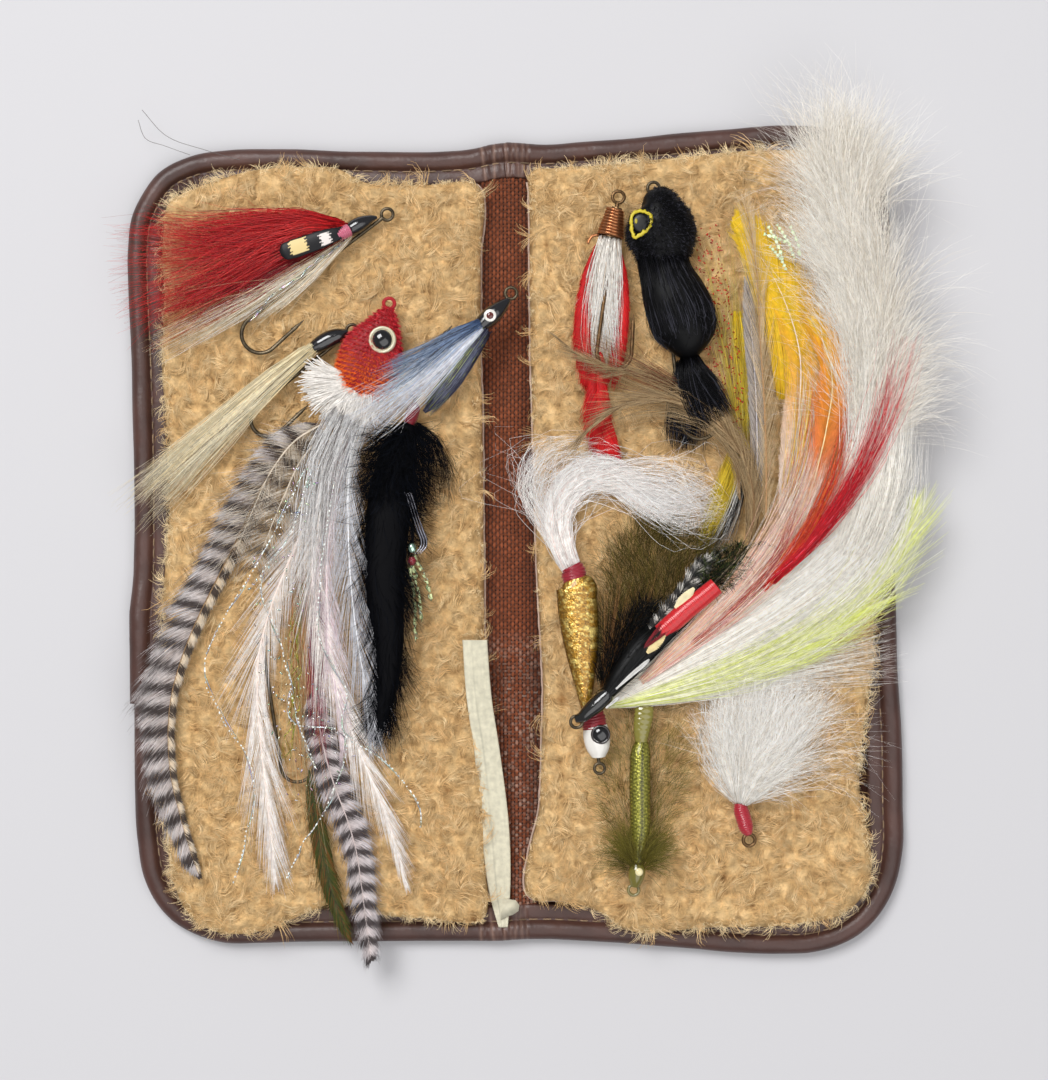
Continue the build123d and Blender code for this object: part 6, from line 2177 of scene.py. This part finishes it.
# Olive fly
def olive_fly():
    base = "right_panel"
    olive = [
        (3, (70, 58, 14), (96, 82, 24)), (2, (44, 40, 12), (72, 64, 22)),
        (1, (104, 92, 34), (130, 116, 50)),
    ]
    olive_strip = [
        (645, 716, 11.6, 30, 2), (642, 690, 11.8, 50, 2.4), (642, 650, 12, 78, 2.6),
        (650, 605, 12, 86, 2.6), (660, 565, 12, 80, 2.4), (668, 535, 11.8, 60, 2),
    ]
    dark_tuft = [(625, 680, 12, 20, 2), (620, 650, 12.2, 36, 2.4), (628, 618, 12.2, 36, 2)]
    smoke = [(1, (20, 20, 18), (40, 40, 34)), (1, (44, 42, 26), (70, 66, 40))]
    with building("olive_fly.fur", SOFT_HAIR, base, "olive_fur", "olive_fly_fur") as soup:
        fur(soup, olive_strip, 4200, 9.5, olive, thick=0.045, splay=0.9, rise=0.22, curl=1.1, steps=7,
            flow=0.6, spread=1.0)
        fur(soup, dark_tuft, 900, 5.5, smoke, thick=0.055, splay=1.2)

    def scales(place, s, a, shade):
        cell = np.sin(place[..., 1] * 7.2 + a * 2) * np.sin(a * 9)
        dark, light = linear((122, 120, 36)), linear((196, 190, 84))
        shade = dark + (light - dark) * np.clip(cell, 0, 1)[..., None]
        stripe = np.clip(1 - np.abs(a + 0.15) * 6, 0, 1)[..., None]
        # The last factor is painted shade: the body darkens toward its sides
        return shade * (1 - 0.8 * stripe) * (1 - 0.5 * np.abs(a) ** 4)[..., None]

    case = [
        (642, 740, 12, 12, 2.8), (641, 748, 12.2, 18, 3.8), (640, 770, 12.5, 21, 4.4),
        (640, 800, 12.5, 21, 4.4), (640, 830, 12.5, 20, 4.4), (638, 852, 12.4, 15, 3.6),
        (637, 862, 12.4, 12, 3.2),
    ]
    with building("olive_fly.body", GLITTER, base, "scale_tinsel", "olive_fly_body") as soup:
        body(soup, case, (130, 126, 44), rings=150, sides=48, colour=scales)

    shoulder = [
        (644, 698, 12.4, 16, 1.6), (644, 712, 12.6, 19, 2), (642, 728, 12.6, 17, 2.2),
        (641, 742, 12.6, 12, 2),
    ]
    head = [
        (637, 864, 12.4, 13, 3), (637, 870, 12.4, 17, 3.8), (636, 878, 12.3, 16, 3.6),
        (635, 886, 12, 10, 2.6),
    ]
    eyelet = spot(633.5, 890, 12)
    glint = spot(639, 872, 14.1)
    with building("olive_fly.head", LACQUER, base, "olive_fur") as soup:
        body(soup, shoulder, (130, 122, 50), ribs=0.03, pitch=1.2)
        body(soup, head, (112, 104, 40))
        hoop(soup, eyelet, 1.2, 0.38, linear((120, 110, 60)))
        blob(soup, glint, (0.95, 0.95, 0.5), linear((236, 222, 170)), rows=10, columns=24)

    moss = [(3, (100, 90, 24), (136, 124, 50)), (1, (64, 58, 16), (96, 88, 32))]
    head_tuft = [(637, 872, 12.6, 16, 3.4), (637, 862, 12.8, 20, 3.6), (638, 850, 12.6, 22, 3.2)]
    under_fur = [
        (638, 850, 11.4, 40, 2), (640, 810, 11.2, 66, 2), (643, 770, 11, 74, 2), (647, 735, 10.8, 70, 1.6),
    ]
    with building("olive_fly.collar", SOFT_HAIR, base, "olive_fur") as soup:
        fur(soup, head_tuft, 1300, 9.5, moss, thick=0.042, splay=1.5, rise=0.3, curl=0.9)
        fur(soup, under_fur, 1000, 8, moss, thick=0.036, splay=1.2, rise=0.25, curl=1.1, spread=1.0)


# White marabou fly
def marabou_fly():
    base = "right_panel"
    head = [
        (740, 803, 12, 12, 3), (741, 810, 12, 15, 3.4), (744, 820, 12, 15.5, 3.4), (747, 830, 11.9, 13, 3),
        (749, 834, 11.8, 8, 2.4),
    ]
    with building("marabou_fly.head", FLOSS, base, "red_thread", "marabou_fly_head") as soup:
        body(soup, head, (168, 26, 44), ribs=0.05, pitch=0.5)

    eyelet = spot(749, 840, 11.8)
    with building("marabou_fly.eye", COPPER, base, "hook_steel") as soup:
        hoop(soup, eyelet, 1.35, 0.42, linear((112, 86, 58)))

    white = [(5, (240, 236, 228), (252, 250, 246)), (1, (216, 204, 186), (238, 230, 218))]
    plume = [
        (741, 804, 12.6, 14, 3), (748, 780, 12.8, 58, 3.6), (756, 748, 12.8, 104, 3.8),
        (764, 714, 12.6, 138, 3.4), (784, 668, 12.2, 180, 2.4),
    ]
    down = [
        (742, 802, 12.8, 18, 3), (752, 768, 13.4, 70, 4), (764, 728, 13.2, 110, 3.6),
        (778, 700, 12.6, 120, 2),
    ]
    right_wisps = [
        (745, 800, 12.4, 14, 2), (790, 770, 12.2, 50, 2), (850, 750, 11.6, 90, 1.6), (892, 760, 11, 110, 1),
    ]
    left_wisps = [
        (742, 802, 12.4, 14, 2), (720, 770, 12.4, 40, 2), (704, 730, 12.2, 40, 2), (690, 705, 12, 40, 1),
    ]
    with building("marabou_fly.fur", PALE_FUR, base, "white_hair", "marabou_fly_fur") as soup:
        hair(soup, plume, 1500, white, thick=0.045, clumps=60, wave=1.8, steps=9, end=(0.5, 1.06),
             cling=0.5, stray=0.15)
        fur(soup, down, 1900, 13, white, thick=0.036, splay=0.8, curl=1.3, flow=0.5, steps=8)
        hair(soup, right_wisps, 130, white, thick=0.035, clumps=20, wave=2.2, steps=9, end=(0.3, 1),
             stray=0.3)
        hair(soup, left_wisps, 160, white, thick=0.04, clumps=20, wave=1.6, steps=8, end=(0.4, 1))


copper_fly()
mouse()
bright_wings()
brown_hackles()
tube_fly()
deceiver()
white_fur()
olive_fly()
marabou_fly()


# Hooks and other CAD pieces
def dress_nodes():
    """Gives the CAD pieces that stay in view, the hooks, their metal."""
    for name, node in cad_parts.items():
        node.data.materials.clear()
        node.data.materials.append(BRONZE if "copper" in name else STEEL)


dress_nodes()


# Floor, light and view
def stage_floor():
    """The paper that the wallet lies on."""
    data = bpy.data.meshes.new("floor")
    half, level = 3, -0.0003
    corners = [(-half, -half, level), (half, -half, level), (half, half, level), (-half, half, level)]
    data.from_pydata(corners, [], [(0, 1, 2, 3)])
    floor = bpy.data.objects.new("floor", data)
    bpy.context.scene.collection.objects.link(floor)
    material = bpy.data.materials.new("floor_paper")
    material.use_nodes = True
    shader = material.node_tree.nodes["Principled BSDF"]
    shader.inputs["Base Color"].default_value = (*linear((206, 205, 207)), 1)
    shader.inputs["Roughness"].default_value = 0.9

    # Well away from the wallet the paper stays pale to the eye, as a lit backdrop does
    tree = material.node_tree
    place, rays = tree.nodes.new("ShaderNodeTexCoord"), tree.nodes.new("ShaderNodeLightPath")
    reach, far = tree.nodes.new("ShaderNodeVectorMath"), tree.nodes.new("ShaderNodeMapRange")
    reach.operation, far.interpolation_type = "LENGTH", "SMOOTHSTEP"
    far.inputs["From Min"].default_value, far.inputs["From Max"].default_value = 0.3, 1.2
    tree.links.new(place.outputs["Object"], reach.inputs[0])
    tree.links.new(reach.outputs["Value"], far.inputs["Value"])
    share = rays.outputs["Is Camera Ray"]
    parts = (
        ("MAXIMUM", rays.outputs["Is Glossy Ray"]), ("MAXIMUM", rays.outputs["Is Transmission Ray"]),
        ("MULTIPLY", far.outputs["Result"]),
    )
    for operation, other in parts:
        step = tree.nodes.new("ShaderNodeMath")
        step.operation = operation
        tree.links.new(share, step.inputs[0])
        tree.links.new(other, step.inputs[1])
        share = step.outputs[0]
    pale, mix = tree.nodes.new("ShaderNodeEmission"), tree.nodes.new("ShaderNodeMixShader")
    pale.inputs["Color"].default_value = (*linear((224, 223, 226)), 1)
    output = tree.nodes["Material Output"]
    tree.links.new(share, mix.inputs["Fac"])
    tree.links.new(shader.outputs[0], mix.inputs[1])
    tree.links.new(pale.outputs[0], mix.inputs[2])
    tree.links.new(mix.outputs[0], output.inputs["Surface"])
    data.materials.append(material)


def lamp(name, place, size, watts):
    """A square lamp that faces the wallet."""
    data = bpy.data.lights.new(name, "AREA")
    data.shape, data.size, data.energy = "SQUARE", size, watts
    light = bpy.data.objects.new(name, data)
    light.location = place
    aim = -np.array(place)
    tilt = math.atan2(math.hypot(aim[0], aim[1]), -aim[2])
    light.rotation_euler = (tilt, 0, math.atan2(aim[1], aim[0]) - PI / 2)
    bpy.context.scene.collection.objects.link(light)


stage_floor()
lamp("window", (-0.5, 0.7, 1.25), 0.7, 18)
lamp("ceiling", (0.4, -0.55, 1.4), 1.6, 11.5)
world = bpy.data.worlds.new("room")
bpy.context.scene.world = world
world.use_nodes = True
world.node_tree.nodes["Background"].inputs["Color"].default_value = (*linear((226, 226, 230)), 1)
world.node_tree.nodes["Background"].inputs["Strength"].default_value = 0.37
bpy.context.scene.view_settings.view_transform = "Standard"
